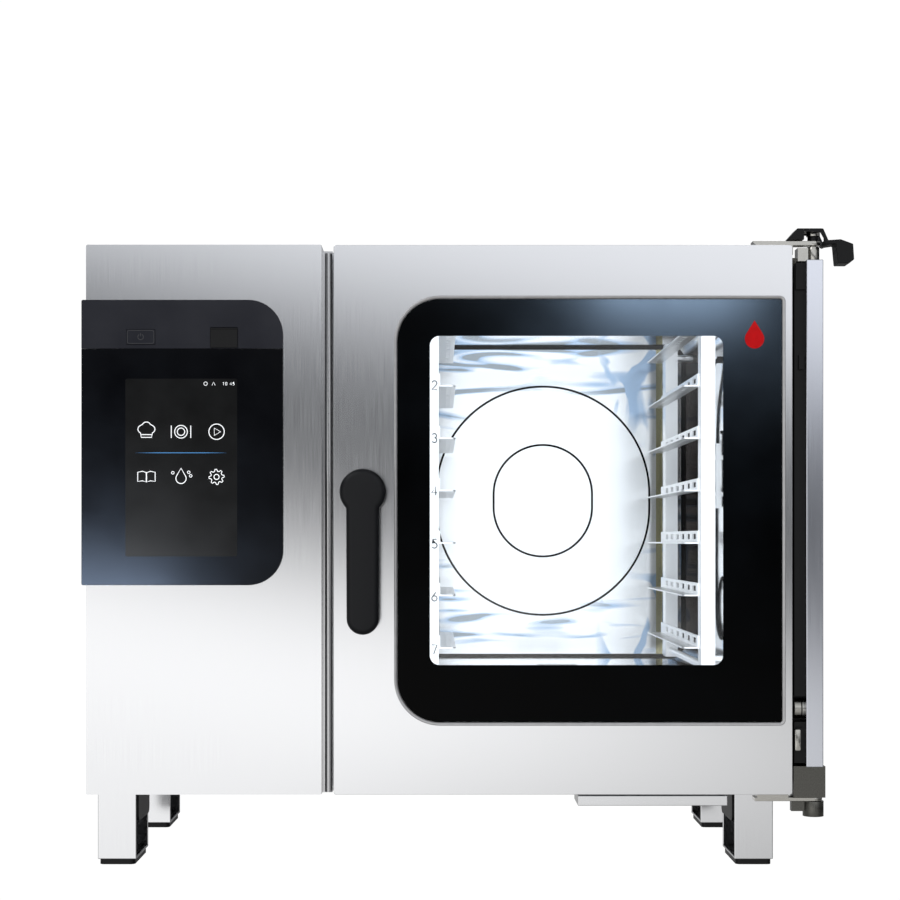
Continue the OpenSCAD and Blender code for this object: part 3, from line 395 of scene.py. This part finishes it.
# Ceramic enamel round the window: black behind glass
enamelBlack = finish("ceramic enamel on glass", {
    "spacing": (90, 90, 90), "colours": ("#000000", "#010101"), "rough": (0.14, 0.18)},
    Specular_IOR_Level=0.035)
displayDark = finish("switched-on display", {
    "spacing": (50, 50, 50), "colours": ("#0e0e0e", "#121212"), "rough": (0.16, 0.22)},
    Specular_IOR_Level=0.09)
etched = finish("laser-etched grey", {
    "spacing": (1, 1, 1), "colours": ("#343538", "#3e3f42"), "rough": (0.5, 0.6)})
redEnamel = finish("red enamel", {
    "spacing": (8, 8, 8), "colours": ("#cf060c", "#dc080f"), "rough": (0.15, 0.25)},
    Specular_IOR_Level=0.12)


def lightPaint(name, code, power):
    made, tree, shader = newMaterial(name, Roughness=0.4)
    shader.inputs["Base Color"].default_value = hexColour(code)
    shader.inputs["Emission Color"].default_value = hexColour(code)
    shader.inputs["Emission Strength"].default_value = power
    return made


iconWhite = lightPaint("lit icon white", "#eef0f2", 0.7)
iconBlue = lightPaint("lit line blue", "#3f7fb8", 0.6)


# Float glass, seen through: clear with a faint green-grey and a mirror that grows at grazing angles
def clearGlass(name, tint):
    made = bpy.data.materials.new(name)
    made.use_nodes = True
    tree = made.node_tree
    tree.nodes.clear()
    through = addNode(tree, "ShaderNodeBsdfTransparent", {"Color": hexColour(tint)})
    mirror = addNode(tree, "ShaderNodeBsdfGlossy", {"Color": (1, 1, 1, 1), "Roughness": 0.02})
    share = addNode(tree, "ShaderNodeFresnel", {"IOR": 1.45})
    side = addNode(tree, "ShaderNodeNewGeometry")
    front = addNode(tree, "ShaderNodeMath", {"operation": "GREATER_THAN"})
    tree.links.new(share.outputs[0], front.inputs[0])
    tree.links.new(side.outputs["Backfacing"], front.inputs[1])
    once = addNode(tree, "ShaderNodeMath", {"operation": "MULTIPLY"})
    tree.links.new(share.outputs[0], once.inputs[0])
    tree.links.new(front.outputs[0], once.inputs[1])
    both = addNode(tree, "ShaderNodeMixShader")
    tree.links.new(once.outputs[0], both.inputs[0])
    tree.links.new(through.outputs[0], both.inputs[1])
    tree.links.new(mirror.outputs[0], both.inputs[2])
    end = addNode(tree, "ShaderNodeOutputMaterial")
    tree.links.new(both.outputs[0], end.inputs["Surface"])
    return made


paneGlass = clearGlass("float glass", "#fbfcfc")

finishes = {
    brushedAcross: "rear_panel top_panel front_frame base_frame drip_tray condenser_box",
    brushedUp: "left_side_panel right_side_panel control_front_panel door_pan "
               "foot_columns",
    zincSteel: "slide_rails panel_screws water_inlets vent_stubs motor_shaft",
    machined: "door_plates post_head",
    seamSteel: "seam_channel seam_trim",
    castDark: "post_foot",
    polished: "chamber_liner floor_strainer steam_generator fan_wheel",
    pressedBright: "air_baffle baffle_ring intake_cover",
    electroPolished: "left_rack right_rack left_ledges right_ledges probe_holder",
    anodised: "hinge_post",
    controlBlack: "control_glass",
    headerGloss: "header_strip power_button",
    paneGlass: "door_glass inner_pane",
    mouldedNylon: "handle door_core display_module",
    mouldedBlack: "usb_cover cable_gland foot_pads foot_plugs post_cover gap_cover hinge_cap "
                  "release_lever core_probe",
    greyPlastic: "contactor_box drain_pipe",
    powderGrey: "fan_motor latch_case",
    silicone: "chamber_gasket probe_lead",
    woolMat: "insulation",
    heatedSheath: "heating_element",
    lacquer: "control_board",
}
for made, names in finishes.items():
    for name in names.split():
        mesh = nodes[name].data
        mesh.materials.clear()
        mesh.materials.append(made)

# Folded and machined edges are softened a little, so that they catch a line of light
edges = {
    "door_pan control_front_panel top_panel left_side_panel right_side_panel": 0.6,
    "hinge_post foot_columns post_head door_plates drip_tray": 0.9,
    "post_foot hinge_cap release_lever": 1.3,
    "header_strip control_glass display_module power_button": 0.4,
}
for names, width in edges.items():
    for name in names.split():
        weld = nodes[name].modifiers.new("weld", "WELD")
        weld.merge_threshold = 0.005 * mm
        planes = nodes[name].modifiers.new("planes", "DECIMATE")
        planes.decimate_type = "DISSOLVE"
        planes.angle_limit = radians(0.5)
        soft = nodes[name].modifiers.new("edges", "BEVEL")
        soft.width = width * mm
        soft.segments = 2
        soft.limit_method = "ANGLE"
        soft.angle_limit = radians(50)
print("finishes on the frame")

# Mesh tools


def makePiece(name, body, material, verts, faces, slot, smooth=False):
    mesh = bpy.data.meshes.new(name)
    mesh.from_pydata(verts, [], faces)
    tidy = bmesh.new()
    tidy.from_mesh(mesh)
    bmesh.ops.remove_doubles(tidy, verts=tidy.verts, dist=1e-6)
    bmesh.ops.recalc_face_normals(tidy, faces=tidy.faces)
    tidy.to_mesh(mesh)
    tidy.free()
    mesh.materials.append(material)
    piece = bpy.data.objects.new(name, mesh)
    bpy.context.collection.objects.link(piece)
    if smooth:
        mesh.polygons.foreach_set("use_smooth", [True] * len(mesh.polygons))
    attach(piece, body)
    return piece


def roundedOutline(x, z, radii, steps=14):
    corners = [((x[1] - radii[1], z[1] - radii[1]), radii[1], 0), ((x[0] + radii[0], z[1] - radii[0]),
               radii[0], 90), ((x[0] + radii[3], z[0] + radii[3]), radii[3], 180),
               ((x[1] - radii[2], z[0] + radii[2]), radii[2], 270)]
    points = []
    for (cx, cz), r, start in corners:
        for i in range(steps + 1):
            a = radians(start + 90 * i / steps)
            points.append((cx + r * cos(a), cz + r * sin(a)))
    return points


def ringPrism(outer, inner, y):
    count = len(outer)
    verts = [(px, depth, pz) for line in (outer, inner) for depth in y for px, pz in line]
    faces = []
    for i in range(count):
        j = (i + 1) % count
        a, b, c, d = 0, count, 2 * count, 3 * count
        faces += [(a + i, a + j, c + j, c + i), (b + i, b + j, d + j, d + i),
                  (a + i, a + j, b + j, b + i), (c + i, c + j, d + j, d + i)]
    return verts, faces


def fillPrism(outline, y):
    count = len(outline)
    verts = [(px, depth, pz) for depth in y for px, pz in outline]
    faces = [tuple(range(count)), tuple(range(count, 2 * count))]
    faces += [(i, (i + 1) % count, count + (i + 1) % count, count + i) for i in range(count)]
    return verts, faces


def inset(outline, amount):
    count = len(outline)
    moved = []
    for i, (px, pz) in enumerate(outline):
        ax, az = outline[i - 1]
        bx, bz = outline[(i + 1) % count]
        dx, dz = bx - ax, bz - az
        size = hypot(dx, dz) or 1
        moved.append((px - dz / size * amount, pz + dx / size * amount))
    return moved


def softSlab(outline, y, radius, steps=6):
    levels = []
    for i in range(steps + 1):
        a = pi / 2 * i / steps
        levels.append((y[0] + radius * (1 - sin(a)), radius * (1 - cos(a))))
    levels = levels[::-1]
    back = [(y[1] - (depth - y[0]), by) for depth, by in reversed(levels)]
    rings = [[(px, depth, pz) for px, pz in inset(outline, by)] for depth, by in levels + back]
    count = len(outline)
    verts = [v for ring in rings for v in ring]
    faces = [(r * count + i, r * count + (i + 1) % count, (r + 1) * count + (i + 1) % count,
              (r + 1) * count + i) for r in range(len(rings) - 1) for i in range(count)]
    faces.append(tuple(range(count)))
    faces.append(tuple(range((len(rings) - 1) * count, len(rings) * count)))
    return verts, faces


def merged(parts):
    verts, faces = [], []
    for more, shapes in parts:
        start = len(verts)
        verts += more
        faces += [tuple(start + i for i in face) for face in shapes]
    return verts, faces


def ribbon(points, width, y, closed=False):
    count = len(points)
    sides = []
    for i, (px, pz) in enumerate(points):
        before = points[i - 1] if closed or i else points[0]
        after = points[(i + 1) % count] if closed or i < count - 1 else points[-1]
        dx, dz = after[0] - before[0], after[1] - before[1]
        size = hypot(dx, dz) or 1
        nx, nz = -dz / size * width / 2, dx / size * width / 2
        sides.append(((px + nx, pz + nz), (px - nx, pz - nz)))
    if closed:
        return ringPrism([s[0] for s in sides], [s[1] for s in sides], y)
    return fillPrism([s[0] for s in sides] + [s[1] for s in reversed(sides)], y)


def arc(cx, cz, r, a0, a1, steps=16):
    return [(cx + r * cos(radians(a0 + (a1 - a0) * i / steps)),
             cz + r * sin(radians(a0 + (a1 - a0) * i / steps))) for i in range(steps + 1)]


# Door glass

paneLow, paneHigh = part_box("door_glass")
innerLow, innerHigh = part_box("inner_pane")
window = {
    "left": 40 * mm,            # black border beside the clear window
    "right": 72.8 * mm,
    "under": 70.6 * mm,
    "over": 45.5 * mm,
    "corner": 12 * mm,
    "paneCorner": 53 * mm,
    "sharpCorner": 3 * mm,
}
w = window
paneX, paneZ = (paneLow[0], paneHigh[0]), (paneLow[2], paneHigh[2])
clearX = (paneX[0] + w["left"], paneX[1] - w["right"])
clearZ = (paneZ[0] + w["under"], paneZ[1] - w["over"])
paneRadii = [w["paneCorner"], w["sharpCorner"], w["sharpCorner"], w["paneCorner"]]
paneOutline = roundedOutline(paneX, paneZ, paneRadii)
clearOutline = roundedOutline(clearX, clearZ, [w["corner"]] * 4)
makePiece("window_border", "door", enamelBlack,
          *ringPrism(inset(paneOutline, 0.4 * mm), clearOutline,
                     (paneLow[1] - 0.25 * mm, paneLow[1])), "black_glass")
# Pressed step round the pane, which catches the light as a thin bright line
step = {
    "wide": 3.9 * mm,
    "gap": 0.15 * mm,
    "proud": 0.12 * mm,
    "deep": 2.07 * mm,
    "sheet": 0.4 * mm,
    "turns": 6,
}
stepRings = []
for i in range(step["turns"] + 1):
    a = pi / 2 * i / step["turns"]
    out = inset(paneOutline, -step["wide"] * (1 - sin(a)) - step["gap"])
    depth = frontY - step["proud"] + step["deep"] * (1 - cos(a))
    stepRings.append([(px, depth, pz) for px, pz in out])
count = len(paneOutline)
stepVerts = [v for ring in stepRings for v in ring]
stepFaces = [(r * count + i, r * count + (i + 1) % count, (r + 1) * count + (i + 1) % count,
              (r + 1) * count + i) for r in range(step["turns"]) for i in range(count)]
edge = makePiece("pane_step", "door", drawnEdge, stepVerts, stepFaces,
                 "brushed_stainless", smooth=True)
solid = edge.modifiers.new("sheet", "SOLIDIFY")
solid.thickness = step["sheet"]
solid.offset = 1.0
# The inner pane's own enamel band
innerOutline = roundedOutline((innerLow[0], innerHigh[0]), (innerLow[2], innerHigh[2]), [41.5 * mm] * 4)
innerClear = roundedOutline((innerLow[0] + 24 * mm, innerHigh[0] - 24 * mm),
                            (innerLow[2] + 24 * mm, innerHigh[2] - 24 * mm), [26 * mm] * 4)
makePiece("inner_pane_border", "door", enamelBlack,
          *ringPrism(inset(innerOutline, 0.4 * mm), innerClear,
                     (innerHigh[1], innerHigh[1] + 0.2 * mm)), "black_glass")
# Plain red mark in the border's upper right corner
mark = {"fromRight": 34 * mm, "fromTop": 45 * mm, "half": 15 * mm}
mx, mz = paneX[1] - mark["fromRight"], paneZ[1] - mark["fromTop"]
drop = arc(mx, mz - 4 * mm, mark["half"] * 0.8, 150, 390, 28) + [(mx, mz + mark["half"] * 1.25)]
makePiece("door_mark", "door", redEnamel,
          *fillPrism(drop, (paneLow[1] - 0.4 * mm, paneLow[1] - 0.25 * mm)), "black_glass")
print("door glass ready")

# Handle

handleLow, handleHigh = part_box("handle")
grip = {
    "head": 28 * mm,
    "half": 19.5 * mm,
    "taper": 0.5 * mm,
    "thick": 30 * mm,
    "edge": 7 * mm,
    "hub": 14 * mm,
    "spindle": 8 * mm,
}
axisX = (handleLow[0] + handleHigh[0]) / 2
axisZ = handleHigh[2] - grip["head"]
tipZ = handleLow[2] + grip["half"]
neck = grip["half"] + grip["taper"]
neckZ = axisZ - (grip["head"] ** 2 - neck ** 2) ** 0.5
keyhole = arc(axisX, axisZ, grip["head"], -44, 224, 56)
keyhole += [(axisX - neck, neckZ - 4 * mm)]
keyhole += [(axisX - neck + (neck - grip["half"]) * i / 8, neckZ - 4 * mm + (tipZ - neckZ + 4 * mm) * i / 8)
            for i in range(1, 8)]
keyhole += arc(axisX, tipZ, grip["half"], 180, 360, 32)
keyhole += [(axisX + neck - (neck - grip["half"]) * (7 - i) / 8,
             neckZ - 4 * mm + (tipZ - neckZ + 4 * mm) * (7 - i) / 8) for i in range(7)]
keyhole += [(axisX + neck, neckZ - 4 * mm)]
gripY = (handleLow[1], handleLow[1] + grip["thick"])
gripPiece = makePiece("handle_grip", "handle", mouldedNylon,
                      *softSlab(keyhole, gripY, grip["edge"]), "anthracite_plastic", smooth=True)
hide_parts("handle")


def turned(profile, place, sides=40):
    px, pz = place
    verts = [(px + r * cos(2 * pi * k / sides), y, pz + r * sin(2 * pi * k / sides))
             for y, r in profile for k in range(sides)]
    faces = [(r * sides + k, r * sides + (k + 1) % sides, (r + 1) * sides + (k + 1) % sides,
              (r + 1) * sides + k) for r in range(len(profile) - 1) for k in range(sides)]
    faces += [tuple(range(sides)), tuple(range((len(profile) - 1) * sides, len(profile) * sides))]
    return verts, faces


hubY = (gripY[1] - 1 * mm, frontY + 1.4 * mm)
makePiece("handle_hub", "handle", mouldedNylon, *turned(
    [(hubY[0], grip["hub"] + 5 * mm), (hubY[0] + 5 * mm, grip["hub"] + 2 * mm),
     (hubY[0] + 11 * mm, grip["hub"] - 0.2 * mm), (hubY[1], grip["hub"] - 0.2 * mm)], (axisX, axisZ)),
    "anthracite_plastic", smooth=True)
camY = (handleHigh[1] - 6 * mm, handleHigh[1])
makePiece("handle_spindle", "handle", zincSteel, *merged([
    turned([(hubY[1] + 0.1 * mm, 7.4 * mm), (hubY[1] + 1 * mm, 8 * mm), (camY[1] - 1 * mm, 8 * mm),
            (camY[1], 7.2 * mm)], (axisX, axisZ)),
    fillPrism(arc(axisX, axisZ - 22 * mm, 8 * mm, 180, 360, 16)
              + [(axisX + 8 * mm, axisZ), (axisX - 8 * mm, axisZ)], camY)]), "brushed_stainless")
makePiece("handle_collar", "door", electroPolished, *merged([ringPrism(
    arc(axisX, axisZ, 21 * mm, 0, 352.5, 47), arc(axisX, axisZ, 14.6 * mm, 0, 352.5, 47),
    (frontY - 1.6 * mm, frontY))]), "brushed_stainless")
print("handle ready")

# Controls

displayLow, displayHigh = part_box("display_module")
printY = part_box("control_glass")[0][1]
icons = {
    "columns": (25.9 * mm, 68.4 * mm, 112.1 * mm),
    "upper": 153.4 * mm,
    "lower": 97.9 * mm,
    "rule": 127.5 * mm,
    "status": 212.5 * mm,
    "line": 1.05 * mm,
    "size": 12.6 * mm,
}
left, low = displayLow[0], displayLow[2]
makePiece("display_face", "oven", displayDark, *fillPrism(
    roundedOutline((displayLow[0], displayHigh[0]), (displayLow[2], displayHigh[2]), [2 * mm] * 4, 4),
    (printY - 0.08 * mm, printY)), "black_glass")
inkY = (printY - 0.16 * mm, printY - 0.08 * mm)
line, size = icons["line"], icons["size"]
col, top, bottom = [left + c for c in icons["columns"]], low + icons["upper"], low + icons["lower"]


def stroke(points, closed=False, width=line):
    return ribbon(points, width, inkY, closed)


def chefHat(x, z):
    puff = arc(x - size * 0.45, z + size * 0.25, size * 0.38, 250, 110, 10)
    puff += arc(x, z + size * 0.5, size * 0.45, 150, 30, 12)
    puff += arc(x + size * 0.45, z + size * 0.25, size * 0.38, 70, -70, 10)
    puff += [(x + size * 0.5, z - size * 0.55), (x - size * 0.5, z - size * 0.55)]
    band = [(x + size * side, z - size * 0.28) for side in (-0.5, 0.5)]
    return [stroke(puff, True), stroke(band)]


def plate(x, z):
    return [stroke(arc(x, z, size * 0.62, 0, 350, 30), True),
            stroke(arc(x, z, size * 0.36, 0, 350, 24), True),
            stroke([(x - size * 0.95, z + size * 0.6), (x - size * 0.95, z - size * 0.6)]),
            stroke([(x + size * 0.95, z + size * 0.6), (x + size * 0.95, z - size * 0.6)])]


def playSign(x, z):
    return [stroke(arc(x, z, size * 0.75, 0, 352, 36), True),
            stroke([(x - size * 0.22, z + size * 0.36), (x + size * 0.4, z),
                    (x - size * 0.22, z - size * 0.36)], True)]


def openBook(x, z):
    page = [(x, z - size * 0.5), (x - size * 0.4, z - size * 0.38), (x - size * 0.85, z - size * 0.45),
            (x - size * 0.85, z + size * 0.45), (x - size * 0.4, z + size * 0.55), (x, z + size * 0.42)]
    return [stroke(page, True), stroke([(2 * x - px, pz) for px, pz in page], True)]


def waterDrop(x, z):
    shape = arc(x, z - size * 0.15, size * 0.5, 155, 385, 24) + [(x, z + size * 0.85)]
    bubbles = [stroke(arc(x + size * dx, z + size * dz, size * 0.13, 0, 330, 10), True, line * 0.8)
               for dx, dz in ((0.75, 0.45), (0.95, 0.1), (-0.8, 0.4))]
    return [stroke(shape, True)] + bubbles


def gearSign(x, z, teeth=8):
    rim = []
    for i in range(teeth * 4):
        r = size * (0.75 if i % 4 < 2 else 0.55)
        a = 2 * pi * i / (teeth * 4)
        rim.append((x + r * cos(a), z + r * sin(a)))
    return [stroke(rim, True), stroke(arc(x, z, size * 0.25, 0, 340, 18), True)]


# Strokes in a box 1 high, made of points (x, z) and of arcs (x, z, radius, from, to)
digitStrokes = {
    0: [[(0, 0.24, 0.26, 0, 180), (0, -0.24, 0.26, 180, 360), (0.26, 0.24)]],
    1: [[(-0.16, 0.3), (0.06, 0.5), (0.06, -0.5)]],
    2: [[(0, 0.23, 0.27, 165, -35), (-0.28, -0.5), (0.29, -0.5)]],
    3: [[(-0.01, 0.26, 0.24, 150, -80)], [(-0.01, -0.23, 0.27, 85, -150)]],
    4: [[(0.14, -0.5), (0.14, 0.5), (-0.3, -0.2), (0.32, -0.2)]],
    5: [[(0.24, 0.5), (-0.17, 0.5), (-0.22, 0.02), (-0.01, -0.19, 0.3, 120, -145)]],
    6: [[(0.16, 0.5), (0, -0.21, 0.29, 160, 510)]],
    7: [[(-0.28, 0.5), (0.28, 0.5), (-0.08, -0.5)]],
}


def digit(value, x, z, high, width, y):
    strokes = []
    for row in digitStrokes[value]:
        line = []
        for item in row:
            line += arc(*item, 14) if len(item) == 5 else [item]
        strokes.append(ribbon([(x + px * high, z + pz * high) for px, pz in line], width, y))
    return strokes


signs = chefHat(col[0], top) + plate(col[1], top) + playSign(col[2], top)
signs += openBook(col[0], bottom) + waterDrop(col[1], bottom) + gearSign(col[2], bottom)
statusZ = low + icons["status"]
signs += [stroke(arc(left + 98.6 * mm, statusZ, 2.2 * mm, 0, 330, 14), True, 0.6 * mm),
          stroke([(left + 106.4 * mm, statusZ - 2 * mm), (left + 108.4 * mm, statusZ + 2 * mm),
                  (left + 110.4 * mm, statusZ - 2 * mm)], False, 0.6 * mm)]
for place, value in zip((120.5, 124, 129.5, 133), (1, 0, 4, 5)):
    signs += digit(value, left + place * mm, statusZ, 3.6 * mm, 0.55 * mm, inkY)
makePiece("display_icons", "oven", iconWhite, *merged(signs), "black_glass")
# Power sign and outline on the button's face, printed in grey
sign = {
    "inset": 3.2 * mm,          # the flange behind the header is 2 mm wider than the face
    "corner": 2.5 * mm,
    "outline": 0.6 * mm,
    "line": 0.8 * mm,
    "ring": 3.4 * mm,
    "bar": (0.8 * mm, 4.6 * mm),
}
buttonLow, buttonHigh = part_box("power_button")
bx, bz = (buttonLow[0] + buttonHigh[0]) / 2, (buttonLow[2] + buttonHigh[2]) / 2
buttonY = (buttonLow[1] - 0.12 * mm, buttonLow[1])
rim = roundedOutline((buttonLow[0] + sign["inset"], buttonHigh[0] - sign["inset"]),
                     (buttonLow[2] + sign["inset"], buttonHigh[2] - sign["inset"]),
                     [sign["corner"]] * 4, 6)
marks = [ribbon(rim, sign["outline"], buttonY, True),
         ribbon(arc(bx, bz, sign["ring"], 120, 420, 26), sign["line"], buttonY),
         ribbon([(bx, bz + end) for end in sign["bar"]], sign["line"], buttonY)]
makePiece("button_sign", "button", etched, *merged(marks), "black_glass")
ruleZ = low + icons["rule"]
rule = [(left + 12.3 * mm, ruleZ), (left + 40 * mm, ruleZ + 0.45 * mm), (left + 98 * mm, ruleZ + 0.45 * mm),
        (left + 125.7 * mm, ruleZ), (left + 98 * mm, ruleZ - 0.45 * mm), (left + 40 * mm, ruleZ - 0.45 * mm)]
makePiece("display_rule", "oven", iconBlue, *fillPrism(rule, inkY), "black_glass")
print("controls ready")

# Numbered levels

rackLow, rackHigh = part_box("left_rack")
levels = {"pitch": 68 * mm, "numbers": (2, 3, 4, 5, 6, 7), "first": 680.8 * mm,
          "high": 11.5 * mm, "bar": 1.5 * mm}
numbers = []
for value in levels["numbers"]:
    numbers += digit(value, rackHigh[0] - 5.5 * mm, levels["first"] - (value - 1) * levels["pitch"],
                     levels["high"], levels["bar"], (rackLow[1] - 0.15 * mm, rackLow[1]))
makePiece("level_numbers", "oven", etched, *merged(numbers), "polished_stainless")

# Steel roller and the striker plate in the gap beside the post
coverLow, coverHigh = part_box("post_cover")
gap = {"z": 204 * mm, "r": 12.2 * mm, "behindFace": 14.5 * mm, "plateZ": (152.5 * mm, 179 * mm)}
rollerY = coverLow[1] + gap["behindFace"]
profile = [(coverLow[0] - 0.1 * mm, 11.4 * mm), (coverLow[0] + 0.7 * mm, gap["r"]),
           (coverLow[0] + 8.4 * mm, gap["r"]), (coverLow[0] + 8.8 * mm, 11.2 * mm),
           (coverLow[0] + 9.6 * mm, 11.2 * mm), (coverLow[0] + 10 * mm, gap["r"]),
           (coverHigh[0] - 0.2 * mm, gap["r"])]
verts, faces = turned(profile, (rollerY, gap["z"]))
makePiece("gap_roller", "oven", machined, [(along, y, z) for y, along, z in verts], faces,
          "brushed_stainless")
plateX = (coverLow[0] - 0.1 * mm, coverLow[0] + 7.5 * mm)
makePiece("striker_plate", "oven", machined, *softSlab(
    roundedOutline(plateX, gap["plateZ"], [2 * mm] * 4, 6),
    (coverLow[1] - 0.3 * mm, coverLow[1] + 2 * mm), 0.8 * mm, 3), "brushed_stainless", smooth=True)
print("fittings ready")

# Chamber light

linerLow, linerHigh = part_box("chamber_liner")
chamberLamp = {
    "inside": (12 * mm, 5 * mm, 8 * mm, 5 * mm),     # off the left, right, floor and ceiling
    "behindFrame": 12 * mm,
    "apart": 4 * mm,            # the halo stands in front of the main lamp
    "power": 0.53,
    "halo": 0.56,
    "wall": 4 * mm,
    "colour": "#dbe5f5",
}
c = chamberLamp
lowX, highX = linerLow[0] + c["inside"][0], linerHigh[0] - c["inside"][1]
lowZ, highZ = linerLow[2] + c["inside"][2], linerHigh[2] - c["inside"][3]
lampY = linerLow[1] + c["behindFrame"]
middle = ((lowX + highX) / 2, (lowZ + highZ) / 2)
areaLight("chamber_light", (middle[0], lampY, middle[1]), (middle[0], 0, middle[1]),
          (highX - lowX, highZ - lowZ), c["power"])
middle = [(low + high) / 2 for low, high in zip(linerLow, linerHigh)]
areaLight("chamber_halo", (middle[0], lampY - c["apart"], middle[2]), (middle[0], 0, middle[2]),
          (linerHigh[0] - linerLow[0] - 2 * c["wall"], linerHigh[2] - linerLow[2] - 2 * c["wall"]),
          c["halo"], c["colour"])

# Sheens that only the dark glass catches
sheens = {
    "away": 2.3,
    "door": ((0.54, 1.15), (0.54, 0, 1.0), (0.38, 0.36), 160, "#9db8d6"),
    "panel": ((-1.0, 0.08), (-0.9, 0, 0.2), (0.6, 0.5), 84, "#a9bfe0"),
    "display": ((-0.97, 0.1), (-0.9, 0, 0.2), (0.55, 0.5), 30, "#e6ecf4"),
}
lit = {"door": bpy.data.objects["window_border"], "panel": nodes["control_glass"],
       "display": bpy.data.objects["display_face"]}
for sheenName, receiver in lit.items():
    (atX, atZ), target, spread, power, colour = sheens[sheenName]
    areaLight(sheenName + "_sheen", (atX, frontY - sheens["away"], atZ), target, spread, power, colour,
              [receiver])

print("scene ready")
